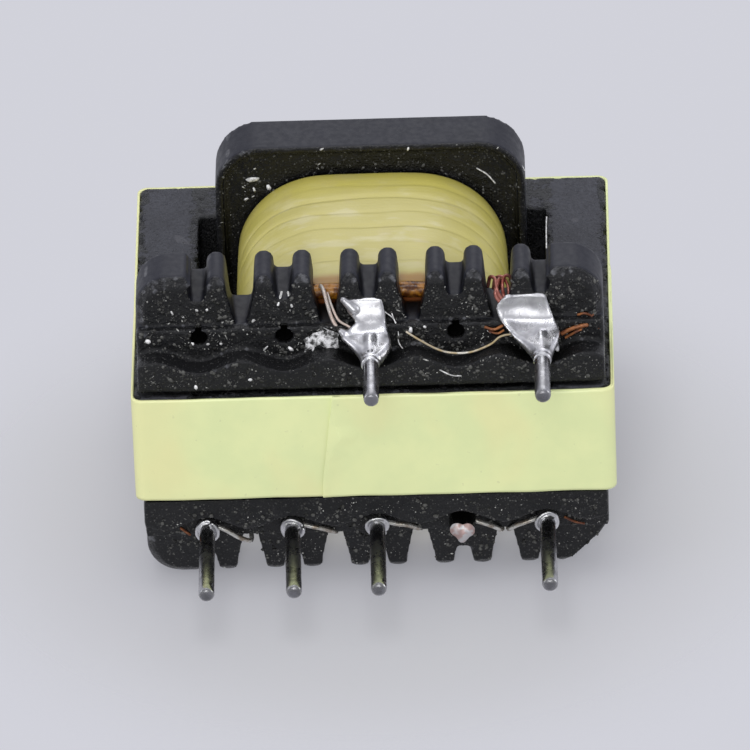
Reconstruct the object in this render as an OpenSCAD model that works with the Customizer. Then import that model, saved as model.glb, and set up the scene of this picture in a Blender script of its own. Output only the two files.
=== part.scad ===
// Small ferrite transformer on a vertical bobbin with two rows of through-hole pins.
// The pins point down (-Z) and the winding axis is Z. The origin is the middle of the
// pin pattern, on the face that lies against the board. "Front" is -Y, "rear" is +Y,
// and pin positions 1 to 5 run from -X to +X along each row.

/* [Ferrite core] */
// Overall width of each E half
core_w = 19.1; // [18.2:0.1:23]
// Height of one E half, from its back to the ends of its legs
half_h = 8.1; // [6.6:0.1:10]
// Thickness of the core, front to back
core_t = 4.85; // [4.0:0.05:5.9]
// Width of each outer leg
leg_w = 2.45; // [2.0:0.05:2.95]
// Height of the bar that joins the legs of one half
yoke_h = 2.4; // [2.0:0.05:2.9]
// Width of the centre leg
mid_w = 4.8; // [4.0:0.05:5.8]
// Air gap ground into the centre leg of the upper half
air_gap = 0.2; // [0.05:0.05:0.6]
// Radius on the outer corners of the core
core_r = 0.35; // [0.1:0.05:0.8]
// Radius inside the windows of the core
window_r = 0.1; // [0.02:0.01:0.12]

/* [Core tape] */
// Thickness of one turn of the tape around the core
tape_turn = 0.05; // [0.03:0.01:0.08]
// Full turns of tape under the tail
tape_turns = 2; // [1:1:3]
// How far the edges of the tape lie inside the faces of the core
tape_inset = 0.025; // [0:0.005:0.3]
// Where the tail of the tape ends on the underside
tail_x = -1.9; // [-6:0.1:6]
// How far the tail's first end runs up the right-hand leg
tail_rise = 9.0; // [3:0.5:12]

/* [Bobbin body] */
// Clearance between the centre leg and the tube around it
tube_gap = 0.12; // [0.05:0.01:0.3]
// Wall of the tube
tube_wall = 0.75; // [0.5:0.05:1.0]
// Corner radius of the tube
tube_r = 0.5; // [0.2:0.05:0.7]
// Thickness of the lower flange, which the windings stand on
flange_t = 0.49; // [0.4:0.01:0.8]
// Play between the upper flange and the upper yoke
end_play = 0.15; // [0.05:0.05:0.4]
// Thickness of the upper flange
cap_t = 1.95; // [0.8:0.05:2.4]
// Front-to-rear size of the upper flange
cap_d = 14.1; // [12.6:0.1:15.5]
// Clearance from the upper flange to each core leg
cap_side_gap = 0.8; // [0.3:0.05:1.2]
// Corner radius of the upper flange
cap_r = 1.9; // [1.0:0.1:3.0]
// Width of the lip round the underside of the upper flange
lip_w = 0.33; // [0.2:0.01:0.6]
// Height of that lip
lip_h = 0.3; // [0.1:0.05:0.6]

/* [Terminal rails] */
// Distance between neighbouring pins
pitch = 3.43; // [2.8:0.01:4.2]
// Distance between the two rows of pins
row_gap = 9.0; // [8.6:0.1:10]
// Clearance between the core and each rail
rail_gap = 0.12; // [0.05:0.01:0.3]
// Distance from the middle plane to the tips of the comb teeth
rail_reach = 7.0; // [6.5:0.01:8]
// Rail length past the centre of its last pin
end_block = 2.49; // [2.0:0.01:3.2]
// Corner radius of the end blocks
end_r = 1.4; // [0.8:0.1:1.8]
// Corner radius of the end blocks beside their wire notch
block_r = 0.18; // [0.05:0.01:0.3]
// Size of the sloping corner that marks the first pin
key_corner = 1.9; // [1.5:0.1:2.2]
// Height of the stand-off bars above the board
bar_lift = 0.27; // [0.1:0.01:0.6]
// Height of the pin land above the board
land_lift = 1.28; // [1.0:0.01:1.6]
// Height of the undersides of the comb teeth above the board
comb_lift = 1.65; // [1.4:0.01:2.0]
// Distance from the middle plane to the step between pin land and comb
land_reach = 4.88; // [4.86:0.01:5.3]
// Height of the comb teeth above the lower flange
tooth_rise = 0.84; // [0.5:0.01:1.3]
// Width of each comb tooth
tooth_w = 0.76; // [0.5:0.01:0.85]
// Width of the wire notch at each pin
notch_w = 0.76; // [0.6:0.01:1.0]
// Depth of that notch at the top of the comb
notch_d = 0.72; // [0.5:0.01:0.95]
// Width of its back at the top of the comb, as a share of its mouth
notch_back = 0.94; // [0.4:0.01:1.0]
// Width of its back underneath, as a share of its mouth
notch_low = 0.62; // [0.2:0.01:0.9]
// Width of the back of a wide gap at the top of the comb, as a share of its mouth
gap_back = 0.76; // [0.4:0.01:0.9]
// Width of its back underneath, as a share of its mouth
gap_low = 0.34; // [0.2:0.01:0.9]
// Chamfer along the lower outside edge of the comb
comb_chamfer = 0.35; // [0.1:0.01:0.6]
// How far the roots of the wide gaps lie behind the face of the windings
gap_in = 0.8; // [0.6:0.01:1.0]
// Distance from the middle plane to the mean edge of the stand-off bars
bar_reach = 3.71; // [3.5:0.01:3.8]
// Half the depth of the waves along that edge
wave = 0.26; // [0.1:0.01:0.3]

/* [Windings] */
// Build of the inner half of the primary
primary_inner_build = 0.58; // [0.4:0.01:0.7]
// Build of the secondary
secondary_build = 0.52; // [0.4:0.01:0.7]
// Build of the outer half of the primary
primary_outer_build = 0.5; // [0.4:0.01:0.6]
// Build of the auxiliary winding
auxiliary_build = 0.18; // [0.12:0.01:0.3]
// Build of each layer of tape between two windings
layer_build = 0.1; // [0.06:0.01:0.15]
// Build of the tape over the whole stack
cover_build = 0.15; // [0.08:0.01:0.2]
// Extra build on the open front and rear sides, as a share
bulge = 0.09; // [0:0.01:0.2]
// Extra rounding of the corners with build, as a share
corner_growth = 1.42; // [1:0.01:1.5]
// Margin from the windings to each flange
winding_margin = 0.15; // [0.05:0.01:0.5]
// Clearance between the windings and the rails
pocket_gap = 0.16; // [0.1:0.01:0.4]

/* [Pins] */
// Diameter of the free end of a pin
pin_d = 0.64; // [0.5:0.01:0.8]
// Thickness of the tin on its root
root_skin = 0.02; // [0.01:0.005:0.05]
// How much thinner the root is at its inner end, on its radius
root_taper = 0.01; // [0.005:0.005:0.03]
// Clearance round a root in its hole
hole_gap = 0.01; // [0.01:0.005:0.05]
// How far the pins reach below the board face
pin_out = 3.75; // [2.5:0.05:4.6]
// How deep the pins are pressed into the rails
pin_in = 1.5; // [1.0:0.05:1.75]
// Chamfer on the tip of a pin
tip_chamfer = 0.14; // [0.05:0.01:0.2]
// Height above the board at which the cut pin ends
stub_lift = 0.35; // [0.2:0.05:0.8]
// Slope of its cut end, in degrees
stub_slope = 24; // [0:1:35]

/* [Solder and leads] */
// Diameter of a wrapped and soldered collar on a rear pin
collar_d = 1.02; // [0.9:0.01:1.2]
// Height of that collar
collar_h = 0.5; // [0.3:0.01:0.7]
// Diameter of the foot of a solder cone on a front pin
cone_d = 1.9; // [1.5:0.05:2.05]
// Height of that cone
cone_h = 2.35; // [1.5:0.05:2.6]
// Height of the straight rim at its foot
cone_rim = 0.35; // [0.1:0.05:0.6]
// How hollow the cone is drawn; 1 is straight
cone_hollow = 1.6; // [1:0.1:2.5]
// Diameter of a rear lead
rear_lead_d = 0.24; // [0.15:0.01:0.3]
// Diameter of the front lead at position 3
front_lead_d = 0.3; // [0.2:0.01:0.4]
// Diameter of the twisted front lead at position 5
twisted_lead_d = 0.46; // [0.3:0.01:0.55]
// Diameter of the single strand between the two front pins
strand_d = 0.12; // [0.08:0.01:0.16]

/* [Hidden] */
$fn = 48;

// Colours
ferrite_colour = "#46474d";
tape_colour = "#d9e0a4";
moulding_colour = "#1f1f23";
enamel_colour = "#a8552c";
cover_colour = "#c8c073";
layer_colour = "#b98a3a";
tin_colour = "#b9b9bf";
strand_colour = "#c9b27a";

// Spare length that a cutter runs past what it cuts
over = 1;
// Air between two pieces that only just clear each other
hair = 0.05;

// Heights, from the board face upwards
tape_t = tape_turn * (tape_turns + 1);
core_z = tape_t;
core_h = 2 * half_h;
floor_z = core_z + yoke_h;
shelf_z = floor_z + flange_t;
tooth_z = shelf_z + tooth_rise;
cap_z = core_z + core_h - yoke_h - end_play;
ceiling_z = cap_z - cap_t;
winding_z = shelf_z + winding_margin;
winding_h = ceiling_z - winding_margin - winding_z;

// Half sizes, from the middle planes outwards
window_x = core_w / 2 - leg_w;
tube_x = mid_w / 2 + tube_gap + tube_wall;
tube_y = core_t / 2 + tube_gap + tube_wall;
cap_x = window_x - cap_side_gap;
rail_y = core_t / 2 + rail_gap;
rail_x = 2 * pitch + end_block;
row_y = row_gap / 2;
nose_r = tooth_w / 2;
nose_y = rail_reach - nose_r;
finger_x = notch_w / 2 + tooth_w;
gap_w = pitch - 2 * finger_x;
tape_w = core_t - 2 * tape_inset;
root_d = pin_d + 2 * root_skin;
root_top = land_lift + pin_in;

// Builds of the layers from the tube outwards, in the order of NODES
builds = [
    primary_inner_build, layer_build, secondary_build, layer_build,
    primary_outer_build, layer_build, auxiliary_build, cover_build
];
function build_to(n) = n == 0 ? 0 : builds[n - 1] + build_to(n - 1);
winding_build = build_to(len(builds));
winding_y = tube_y + winding_build * (1 + bulge);
gap_root = winding_y - gap_in;

// X of a pin position, counted 1 to 5
function pin_x(position) = (position - 3) * pitch;

// A point at share t along the Bezier curve of the points p
function bezier(p, t) = len(p) == 1 ? p[0]
    : bezier([for (i = [0 : len(p) - 2]) p[i] * (1 - t) + p[i + 1] * t], t);
function curve(p, steps) = [for (i = [0 : steps]) bezier(p, i / steps)];

// A round wire of diameter d along the points p
wire_sides = 8;
module wire(p, d) {
    last = len(p) - 1;
    reference = [0.36, 0.48, 0.8];
    rings = [
        for (i = [0 : last])
            let (t = p[min(i + 1, last)] - p[max(i - 1, 0)],
                 a = cross(t, reference) / norm(cross(t, reference)),
                 b = cross(t, a) / norm(t))
                for (k = [0 : wire_sides - 1])
                    let (turn = 360 * k / wire_sides)
                        p[i] + d / 2 * (cos(turn) * a + sin(turn) * b)
    ];
    sides = [
        for (i = [0 : last - 1])
            for (k = [0 : wire_sides - 1])
                let (a = i * wire_sides + k,
                     b = i * wire_sides + (k + 1) % wire_sides,
                     c = a + wire_sides,
                     d = b + wire_sides)
                    each [[a, c, d], [a, d, b]]
    ];
    start = [for (k = [0 : wire_sides - 1]) k];
    end = [for (k = [wire_sides - 1 : -1 : 0]) last * wire_sides + k];
    polyhedron(rings, concat(sides, [start, end]));
}

// A rectangle of half sizes x and y with corner radius r
module rounded(x, y, r) {
    square([2 * x, 2 * (y - r)], center = true);
    square([2 * (x - r), 2 * y], center = true);
    for (sx = [-1, 1])
        for (sy = [-1, 1])
            translate([sx * (x - r), sy * (y - r)]) circle(r);
}

// One E half, lying on its back with its legs up; the centre leg stops short by "short"
module e_half(short) {
    rotate([90, 0, 0])
        linear_extrude(core_t, center = true)
            difference() {
                union() {
                    translate([-core_w / 2, core_r]) square([core_w, half_h - core_r]);
                    translate([-core_w / 2 + core_r, 0]) square([core_w - 2 * core_r, core_r]);
                    for (s = [-1, 1])
                        translate([s * (core_w / 2 - core_r), core_r]) circle(core_r);
                }
                for (s = [0, 1])
                    mirror([s, 0]) core_window();
                translate([-mid_w / 2, half_h - short]) square([mid_w, short + over]);
            }
}

// One of the two windows of an E half, rounded at its inner corners
module core_window() {
    wide = window_x - mid_w / 2;
    translate([mid_w / 2, yoke_h + window_r]) square([wide, half_h]);
    translate([mid_w / 2 + window_r, yoke_h])
        square([wide - 2 * window_r, window_r + over]);
    for (x = [window_r, wide - window_r])
        translate([mid_w / 2 + x, yoke_h + window_r]) circle(window_r);
}

module core_lower() {
    color(ferrite_colour) translate([0, 0, core_z]) e_half(0);
}

module core_upper() {
    color(ferrite_colour)
        translate([0, 0, core_z + core_h]) rotate([0, 180, 0]) e_half(air_gap);
}

// The outline of the taped core, seen from the front, "out" beyond the ferrite
module taped_outline(out) {
    translate([0, core_z + half_h]) rounded(core_w / 2 + out, half_h + out, core_r + out);
}

// Tape wound round the outside of the two halves, with its tail on the underside
module core_tape() {
    full = tape_turn * tape_turns;
    color(tape_colour)
        rotate([90, 0, 0])
            linear_extrude(tape_w, center = true)
                difference() {
                    union() {
                        taped_outline(full);
                        intersection() {
                            taped_outline(full + tape_turn);
                            translate([tail_x, -over]) square([core_w, tail_rise + over]);
                        }
                    }
                    taped_outline(0);
                }
}

// A cutter between two teeth: its mouth is "mouth" wide between their noses, and its back
// is "top" wide at the top of the comb and "low" wide underneath, at y = root_top and root_low
module tapered_slot(mouth, top, low, root_top, root_low) {
    outer = nose_y + hair;
    z0 = comb_lift - over / 2;
    z1 = tooth_z + over / 2;
    polyhedron(
        [
            [-mouth / 2, outer, z0], [mouth / 2, outer, z0],
            [mouth / 2, outer, z1], [-mouth / 2, outer, z1],
            [-low / 2, root_low, z0], [low / 2, root_low, z0],
            [top / 2, root_top, z1], [-top / 2, root_top, z1]
        ],
        [
            [0, 1, 2, 3], [4, 7, 6, 5], [3, 2, 6, 7], [0, 4, 5, 1],
            [0, 7, 4], [0, 3, 7], [1, 6, 2], [1, 5, 6]
        ]
    );
}

// Plan of one rail's comb before its slots are cut, on the rear side
module comb_plan() {
    corner = rail_x - end_r;
    inner = pin_x(5) + notch_w / 2;
    translate([-rail_x, rail_y])
        square([2 * rail_x, rail_reach - end_r - rail_y]);
    translate([-corner, rail_y])
        square([2 * corner, nose_y - rail_y]);
    for (position = [1 : 5])
        for (s = [-1, 1])
            translate([pin_x(position) + s * (finger_x - nose_r), nose_y]) circle(nose_r);
    for (s = [0, 1])
        mirror([s, 0]) {
            translate([inner + block_r, nose_y - over / 2])
                square([corner - inner - block_r, nose_r + over / 2]);
            translate([inner, nose_y - over / 2])
                square([block_r, nose_r + over / 2 - block_r]);
            translate([inner + block_r, rail_reach - block_r]) circle(block_r);
            translate([corner, rail_reach - end_r]) circle(end_r);
        }
}

// Plan of one stand-off bar: straight along the core, waved round the pins
module bar_plan() {
    waves = 16;
    last = ceil(rail_x / pitch * waves);
    intersection() {
        polygon(concat(
            [[-rail_x - over, rail_y], [rail_x + over, rail_y]],
            [
                for (i = [last : -1 : -last])
                    [i * pitch / waves, bar_reach - wave * cos(360 * i / waves)]
            ]
        ));
        translate([-rail_x, rail_y]) square([2 * rail_x, rail_reach]);
    }
}

// Cuts the lower outside edge of the comb back at 45 degrees, round both corners
module comb_edge() {
    side = comb_chamfer * sqrt(2);
    corner = rail_x - end_r;
    translate([-rail_x - over, rail_reach, comb_lift])
        rotate([45, 0, 0]) translate([0, -side, side / 2 - 2 * side])
            cube([2 * (rail_x + over), 2 * side, 2 * side]);
    for (s = [0, 1])
        mirror([s, 0, 0]) {
            translate([corner, rail_reach - end_r, comb_lift - hair])
                difference() {
                    cube([end_r + over, end_r + over, comb_chamfer + hair]);
                    translate([0, 0, hair])
                        cylinder(h = comb_chamfer, r1 = end_r - comb_chamfer, r2 = end_r);
                }
            translate([rail_x, land_reach, comb_lift])
                rotate([0, 45, 0]) translate([-side / 2, 0, -side])
                    cube([2 * side, rail_reach - end_r - land_reach, 2 * side]);
        }
}

// One terminal rail, on the rear side
module rail() {
    translate([0, 0, bar_lift])
        linear_extrude(shelf_z - bar_lift) bar_plan();
    translate([-rail_x, rail_y, land_lift])
        cube([2 * rail_x, land_reach - rail_y, shelf_z - land_lift]);
    translate([0, 0, comb_lift])
        linear_extrude(tooth_z - comb_lift) comb_plan();
}

// Everything that is cut out of one rail, on the rear side
module rail_cuts() {
    notch_root = rail_reach - notch_d;
    comb_edge();
    for (position = [1 : 5])
        translate([pin_x(position), 0, 0]) {
            tapered_slot(notch_w, notch_back * notch_w, notch_low * notch_w,
                         notch_root, notch_root - notch_d / 2);
            translate([0, row_y, land_lift - over])
                cylinder(h = pin_in + over, d = root_d + 2 * hole_gap);
        }
    for (position = [1 : 4])
        translate([pin_x(position) + pitch / 2, 0, 0])
            tapered_slot(gap_w, gap_back * gap_w, gap_low * gap_w, gap_root, gap_root);
}

// The moulded bobbin: tube, two flanges and both terminal rails in one piece
module bobbin() {
    color(moulding_colour)
        difference() {
            union() {
                translate([0, 0, floor_z])
                    linear_extrude(cap_z - floor_z) rounded(tube_x, tube_y, tube_r);
                translate([0, 0, floor_z])
                    linear_extrude(flange_t)
                        square([2 * (window_x - rail_gap), 2 * rail_y + hair], center = true);
                translate([0, 0, ceiling_z])
                    linear_extrude(cap_t) rounded(cap_x, cap_d / 2, cap_r);
                translate([0, 0, ceiling_z - lip_h])
                    linear_extrude(lip_h)
                        difference() {
                            rounded(cap_x, cap_d / 2, cap_r);
                            rounded(cap_x - lip_w, cap_d / 2 - lip_w, cap_r - lip_w);
                        }
                rail();
                mirror([0, 1, 0]) rail();
            }
            rail_cuts();
            mirror([0, 1, 0]) rail_cuts();
            // the passage for the centre leg
            translate([0, 0, cap_z / 2])
                cube([mid_w + 2 * tube_gap, core_t + 2 * tube_gap, 2 * cap_z], center = true);
            // the pocket that keeps the comb clear of the windings
            translate([0, 0, shelf_z])
                linear_extrude(tooth_rise + over)
                    difference() {
                        winding_outline(winding_build, pocket_gap);
                        rounded(tube_x, tube_y, tube_r);
                    }
            // the sloping corner that marks the first pin
            translate([rail_x - key_corner, rail_reach, -over])
                rotate([0, 0, -45]) cube([2 * key_corner, key_corner, cap_z]);
        }
}

// Outline of the winding stack when it is "build" thick, "out" beyond its surface
module winding_outline(build, out = 0) {
    rounded(tube_x + build + out,
            tube_y + build * (1 + bulge) + out,
            tube_r + build * corner_growth + out);
}

// Layer n of the winding stack, counted from the tube
module layer(n) {
    translate([0, 0, winding_z])
        linear_extrude(winding_h)
            difference() {
                winding_outline(build_to(n + 1));
                winding_outline(build_to(n));
            }
}

module primary_inner() { color(enamel_colour) layer(0); }
module tape_inner() { color(layer_colour) layer(1); }
module secondary() { color(enamel_colour) layer(2); }
module tape_middle() { color(layer_colour) layer(3); }
module primary_outer() { color(enamel_colour) layer(4); }
module tape_outer() { color(layer_colour) layer(5); }
module auxiliary() { color(enamel_colour) layer(6); }
module winding_cover() { color(cover_colour) layer(7); }

// Radius at height z of a pin root that starts at root_z and narrows towards its inner end
function root_r(z, root_z) = root_d / 2 - root_taper * (z - root_z) / (root_top - root_z);

// The tinned root of a pin, from root_z up to its inner end
module root(root_z) {
    translate([0, 0, root_z])
        cylinder(h = root_top - root_z, r1 = root_d / 2, r2 = root_d / 2 - root_taper);
}

// A pin whose thicker root starts at root_z
module pin(position, side, root_z) {
    color(tin_colour)
        translate([pin_x(position), side * row_y, 0]) {
            root(root_z);
            translate([0, 0, -pin_out + tip_chamfer])
                cylinder(h = pin_out - tip_chamfer + root_z, d = pin_d);
            translate([0, 0, -pin_out])
                cylinder(h = tip_chamfer, d1 = pin_d - 2 * tip_chamfer, d2 = pin_d);
        }
}

// The cut pin: only its root, nipped off at a slope
module stub(position, side) {
    color(tin_colour)
        translate([pin_x(position), side * row_y, 0])
            difference() {
                root(stub_lift);
                translate([0, 0, stub_lift + root_d / 2 * tan(stub_slope)])
                    rotate([stub_slope, 0, 0])
                        translate([-over, -over, -over]) cube([2 * over, 2 * over, over]);
            }
}

cone_z = land_lift - cone_h;
collar_z = land_lift - collar_h;
module pin_front_3() { pin(3, -1, cone_z); }
module pin_front_5() { pin(5, -1, cone_z); }
module pin_rear_1() { pin(1, 1, bar_lift); }
module pin_rear_2() { pin(2, 1, bar_lift); }
module pin_rear_3() { pin(3, 1, bar_lift); }
module pin_rear_4() { stub(4, 1); }
module pin_rear_5() { pin(5, 1, bar_lift); }

// Solder drawn down a front pin in a hollow cone, against the pin land
module solder_cone(position) {
    foot = cone_d / 2;
    tip = root_d / 2;
    color(tin_colour)
        translate([pin_x(position), -row_y, cone_z])
            rotate_extrude()
                polygon(concat(
                    [[root_r(land_lift, cone_z), cone_h], [tip, 0]],
                    [
                        for (i = [1 : 8])
                            let (t = i / 8)
                                [tip + (foot - tip) * pow(t, cone_hollow),
                                 (cone_h - cone_rim) * t]
                    ],
                    [[foot, cone_h]]
                ));
}
module solder_front_3() { solder_cone(3); }
module solder_front_5() { solder_cone(5); }

// A few soldered turns of wire round the root of a rear pin
module collar(position) {
    bore = root_r(collar_z, bar_lift);
    turn_r = (collar_d / 2 - bore) / 2;
    color(tin_colour)
        translate([pin_x(position), row_y, collar_z])
            rotate_extrude() {
                translate([bore, turn_r]) square([turn_r, collar_h - turn_r]);
                translate([bore + turn_r - hair, turn_r])
                    square([turn_r + hair, collar_h - 2 * turn_r]);
                for (z = [turn_r, collar_h - turn_r])
                    translate([bore + turn_r, z]) circle(turn_r);
            }
}
module solder_rear_1() { collar(1); }
module solder_rear_2() { collar(2); }
module solder_rear_3() { collar(3); }
module solder_rear_5() { collar(5); }

// Y of the surface of the winding stack at this x, "out" beyond it
function stack_y(x, out) =
    let (r = tube_r + winding_build * corner_growth,
         middle_x = tube_x + winding_build - r,
         along = max(0, abs(x) - middle_x))
        winding_y - r + sqrt(pow(r + out, 2) - pow(along, 2));

// How far beyond the root of a wide gap a wire of diameter d, which runs "aside" from its
// middle, has room between the sloping walls
function gap_out(d, aside) =
    let (low = gap_low * gap_w)
        (d + hair + 2 * abs(aside) - low) / (gap_w - low) * (nose_y + hair - gap_root);

// A lead of diameter d from the solder on a pin, under the comb and up through the gap on
// its side "toward". It leaves the solder at radius "reach", and within the gap it runs
// "aside" from the middle, a share of the gap's width, and "out" from the root. In the
// middle gaps it ends under the windings, and in the outer gaps it climbs over the wall
// and ends against the side of the stack.
module lead(position, toward, reach, d, aside = 0, out = 0.2) {
    x = pin_x(position);
    gap_x = x + toward * pitch / 2 + aside * gap_w;
    middle = abs(gap_x) < pitch;
    low = land_lift - d / 2 - hair;
    gap_y = gap_root + max(d / 2 + out, gap_out(d, aside * gap_w));
    start = [x + toward * reach, row_y, low];
    under = [x + toward * (reach + 0.45), row_y + 0.1, low - 0.12];
    turn = [gap_x, gap_y + 0.35, low - 0.3];
    rise = [gap_x, gap_y, shelf_z - 0.4];
    crest = [gap_x, gap_y + 0.1, tooth_z + 1.5];
    side_x = gap_x * 0.97;
    side = [side_x, stack_y(side_x, d / 2 + hair), tooth_z + 1.5];
    top = middle
        ? [[gap_x, gap_y, winding_z - hair]]
        : [for (i = [1 : 6]) bezier([rise, crest, side], i / 6)];
    wire(concat(curve([start, under, turn, rise], 8), top), d);
}

collar_reach = collar_d / 2 + hair;
cone_reach = cone_d / 2 + hair;
module lead_front_3() {
    color(enamel_colour)
        mirror([0, 1, 0]) lead(3, -1, cone_reach, front_lead_d, aside = -0.09);
}
module lead_front_5() {
    color(enamel_colour)
        mirror([0, 1, 0]) lead(5, -1, cone_reach + hair, twisted_lead_d);
}
module lead_rear_1() { color(enamel_colour) lead(1, 1, collar_reach, rear_lead_d); }
module lead_rear_2() { color(enamel_colour) lead(2, 1, collar_reach, rear_lead_d); }
module lead_rear_3() { color(enamel_colour) lead(3, 1, collar_reach, rear_lead_d); }
module lead_rear_4() {
    color(enamel_colour)
        lead(4, 1, root_d / 2 + hair, rear_lead_d, aside = -0.13, out = 0.6);
}
module lead_rear_5() {
    color(enamel_colour)
        lead(5, -1, collar_reach, rear_lead_d, aside = 0.13, out = 0.6);
}

// A single strand from one solder cone to the other, under the empty hole between them
module strand_front() {
    z = land_lift - 0.2;
    color(strand_colour)
        wire(curve([
            [pin_x(3) + cone_reach * cos(15), -row_y - cone_reach * sin(15), z],
            [pin_x(3) + cone_reach + 0.8, -row_y - 0.1, z],
            [pin_x(4) - 0.9, -bar_reach - 0.2, z],
            [pin_x(4) + 0.6, -bar_reach - 0.3, z],
            [pin_x(5) - cone_reach - 0.6, -row_y + 0.2, z],
            [pin_x(5) - cone_reach * cos(35), -row_y + cone_reach * sin(35), z]
        ], 14), strand_d);
}

core_lower();
core_upper();
core_tape();
bobbin();
primary_inner();
tape_inner();
secondary();
tape_middle();
primary_outer();
tape_outer();
auxiliary();
winding_cover();
pin_front_3();
pin_front_5();
pin_rear_1();
pin_rear_2();
pin_rear_3();
pin_rear_4();
pin_rear_5();
solder_front_3();
solder_front_5();
solder_rear_1();
solder_rear_2();
solder_rear_3();
solder_rear_5();
lead_front_3();
lead_front_5();
strand_front();
lead_rear_1();
lead_rear_2();
lead_rear_3();
lead_rear_4();
lead_rear_5();
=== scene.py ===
import math
import random

import bmesh
import bpy
import numpy as np
from mathutils import Matrix, Vector, noise
from mathutils.bvhtree import BVHTree


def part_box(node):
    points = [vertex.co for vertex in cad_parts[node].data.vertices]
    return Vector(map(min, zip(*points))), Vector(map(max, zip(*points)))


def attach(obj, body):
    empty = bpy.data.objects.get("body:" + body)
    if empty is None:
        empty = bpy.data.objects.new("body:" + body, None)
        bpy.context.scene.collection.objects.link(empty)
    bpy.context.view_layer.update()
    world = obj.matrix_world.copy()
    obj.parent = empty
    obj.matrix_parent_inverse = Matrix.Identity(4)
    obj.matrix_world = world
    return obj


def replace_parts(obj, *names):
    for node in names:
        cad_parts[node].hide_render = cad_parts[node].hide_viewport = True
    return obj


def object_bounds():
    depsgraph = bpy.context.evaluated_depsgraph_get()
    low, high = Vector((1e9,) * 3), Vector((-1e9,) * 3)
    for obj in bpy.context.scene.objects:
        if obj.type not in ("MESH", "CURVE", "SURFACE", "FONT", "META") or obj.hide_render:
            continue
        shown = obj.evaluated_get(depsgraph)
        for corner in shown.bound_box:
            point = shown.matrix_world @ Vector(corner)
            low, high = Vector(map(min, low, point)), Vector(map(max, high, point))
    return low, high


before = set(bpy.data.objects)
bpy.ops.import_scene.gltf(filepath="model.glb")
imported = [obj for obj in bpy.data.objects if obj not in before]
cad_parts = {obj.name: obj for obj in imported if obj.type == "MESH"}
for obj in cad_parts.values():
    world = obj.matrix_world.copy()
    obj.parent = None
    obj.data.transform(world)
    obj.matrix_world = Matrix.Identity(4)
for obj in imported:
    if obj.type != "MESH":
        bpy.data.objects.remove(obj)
cad_low, cad_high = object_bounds()

MM = 0.001


# ---------------------------------------------------------------------------
# Camera
# A long lens looks up at the board side of the transformer from below its
# front edge, so that the pins and the comb of the front rail face it.
# ---------------------------------------------------------------------------
LOOK_ELEVATION = math.radians(-57.73)
LOOK_AZIMUTH = math.radians(2.03)
LOOK_ROLL = math.radians(0.18)
LOOK_AT = Vector((0.0, 1.21, 7.24)) * MM
LOOK_DISTANCE = 511.9 * MM
LENS = 605.2


def look_axes(azimuth, elevation, roll):
    """Right, up and back of a camera at these angles, turned by roll about its own axis."""
    back = Vector((
        math.sin(azimuth) * math.cos(elevation),
        -math.cos(azimuth) * math.cos(elevation),
        math.sin(elevation),
    ))
    level = Vector((0, 0, 1)).cross(back).normalized()
    rise = back.cross(level)
    right = level * math.cos(roll) + rise * math.sin(roll)
    up = rise * math.cos(roll) - level * math.sin(roll)
    return right, up, back


def make_camera():
    data = bpy.data.cameras.new("camera")
    data.lens = LENS
    data.clip_start, data.clip_end = 0.05, 5.0
    camera = bpy.data.objects.new("camera", data)
    bpy.context.scene.collection.objects.link(camera)
    right, up, back = look_axes(LOOK_AZIMUTH, LOOK_ELEVATION, LOOK_ROLL)
    place = LOOK_AT + back * LOOK_DISTANCE
    camera.matrix_world = Matrix.Translation(place) @ Matrix((right, up, back)).transposed().to_4x4()
    bpy.context.scene.camera = camera


make_camera()
bpy.context.scene.view_settings.view_transform = "Standard"


# ---------------------------------------------------------------------------
# Studio light and pale ground
# A light tent: broad lamps all round, the strongest from below in front, and
# two pale sheets, a bench behind the transformer and a floor under its pins.
# Each sheet shows only the side that faces the transformer.
# ---------------------------------------------------------------------------
PALE = (0.640, 0.645, 0.705)
TENT = (1.0, 1.0, 1.03)
TENT_STRENGTH = 0.60
LAMPS = [
    # name, direction from the transformer, distance, size (metres), watts
    ("lamp_far", (0.05, -0.70, 0.71), 0.50, 0.34, 0.34),
    ("lamp_front", (-0.06, -0.97, -0.22), 0.55, 0.34, 0.95),
    ("lamp_near", (-0.06, -0.42, -0.87), 0.62, 0.22, 1.46),
    ("lamp_left", (-0.93, -0.30, -0.10), 0.60, 0.30, 0.42),
    ("lamp_right", (0.93, -0.28, 0.15), 0.60, 0.30, 0.46),
    ("lamp_rear", (0.20, 0.85, 0.45), 0.60, 0.30, 0.65),
]
MIDDLE = (cad_low + cad_high) / 2
SHEET_REACH = 22 * MM
SHEET_CLOTH = (0.322, 0.322, 0.340)
SHEET_GLOW = 0.34
FADE_FROM, FADE_TO = 0.55, 0.98


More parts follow.
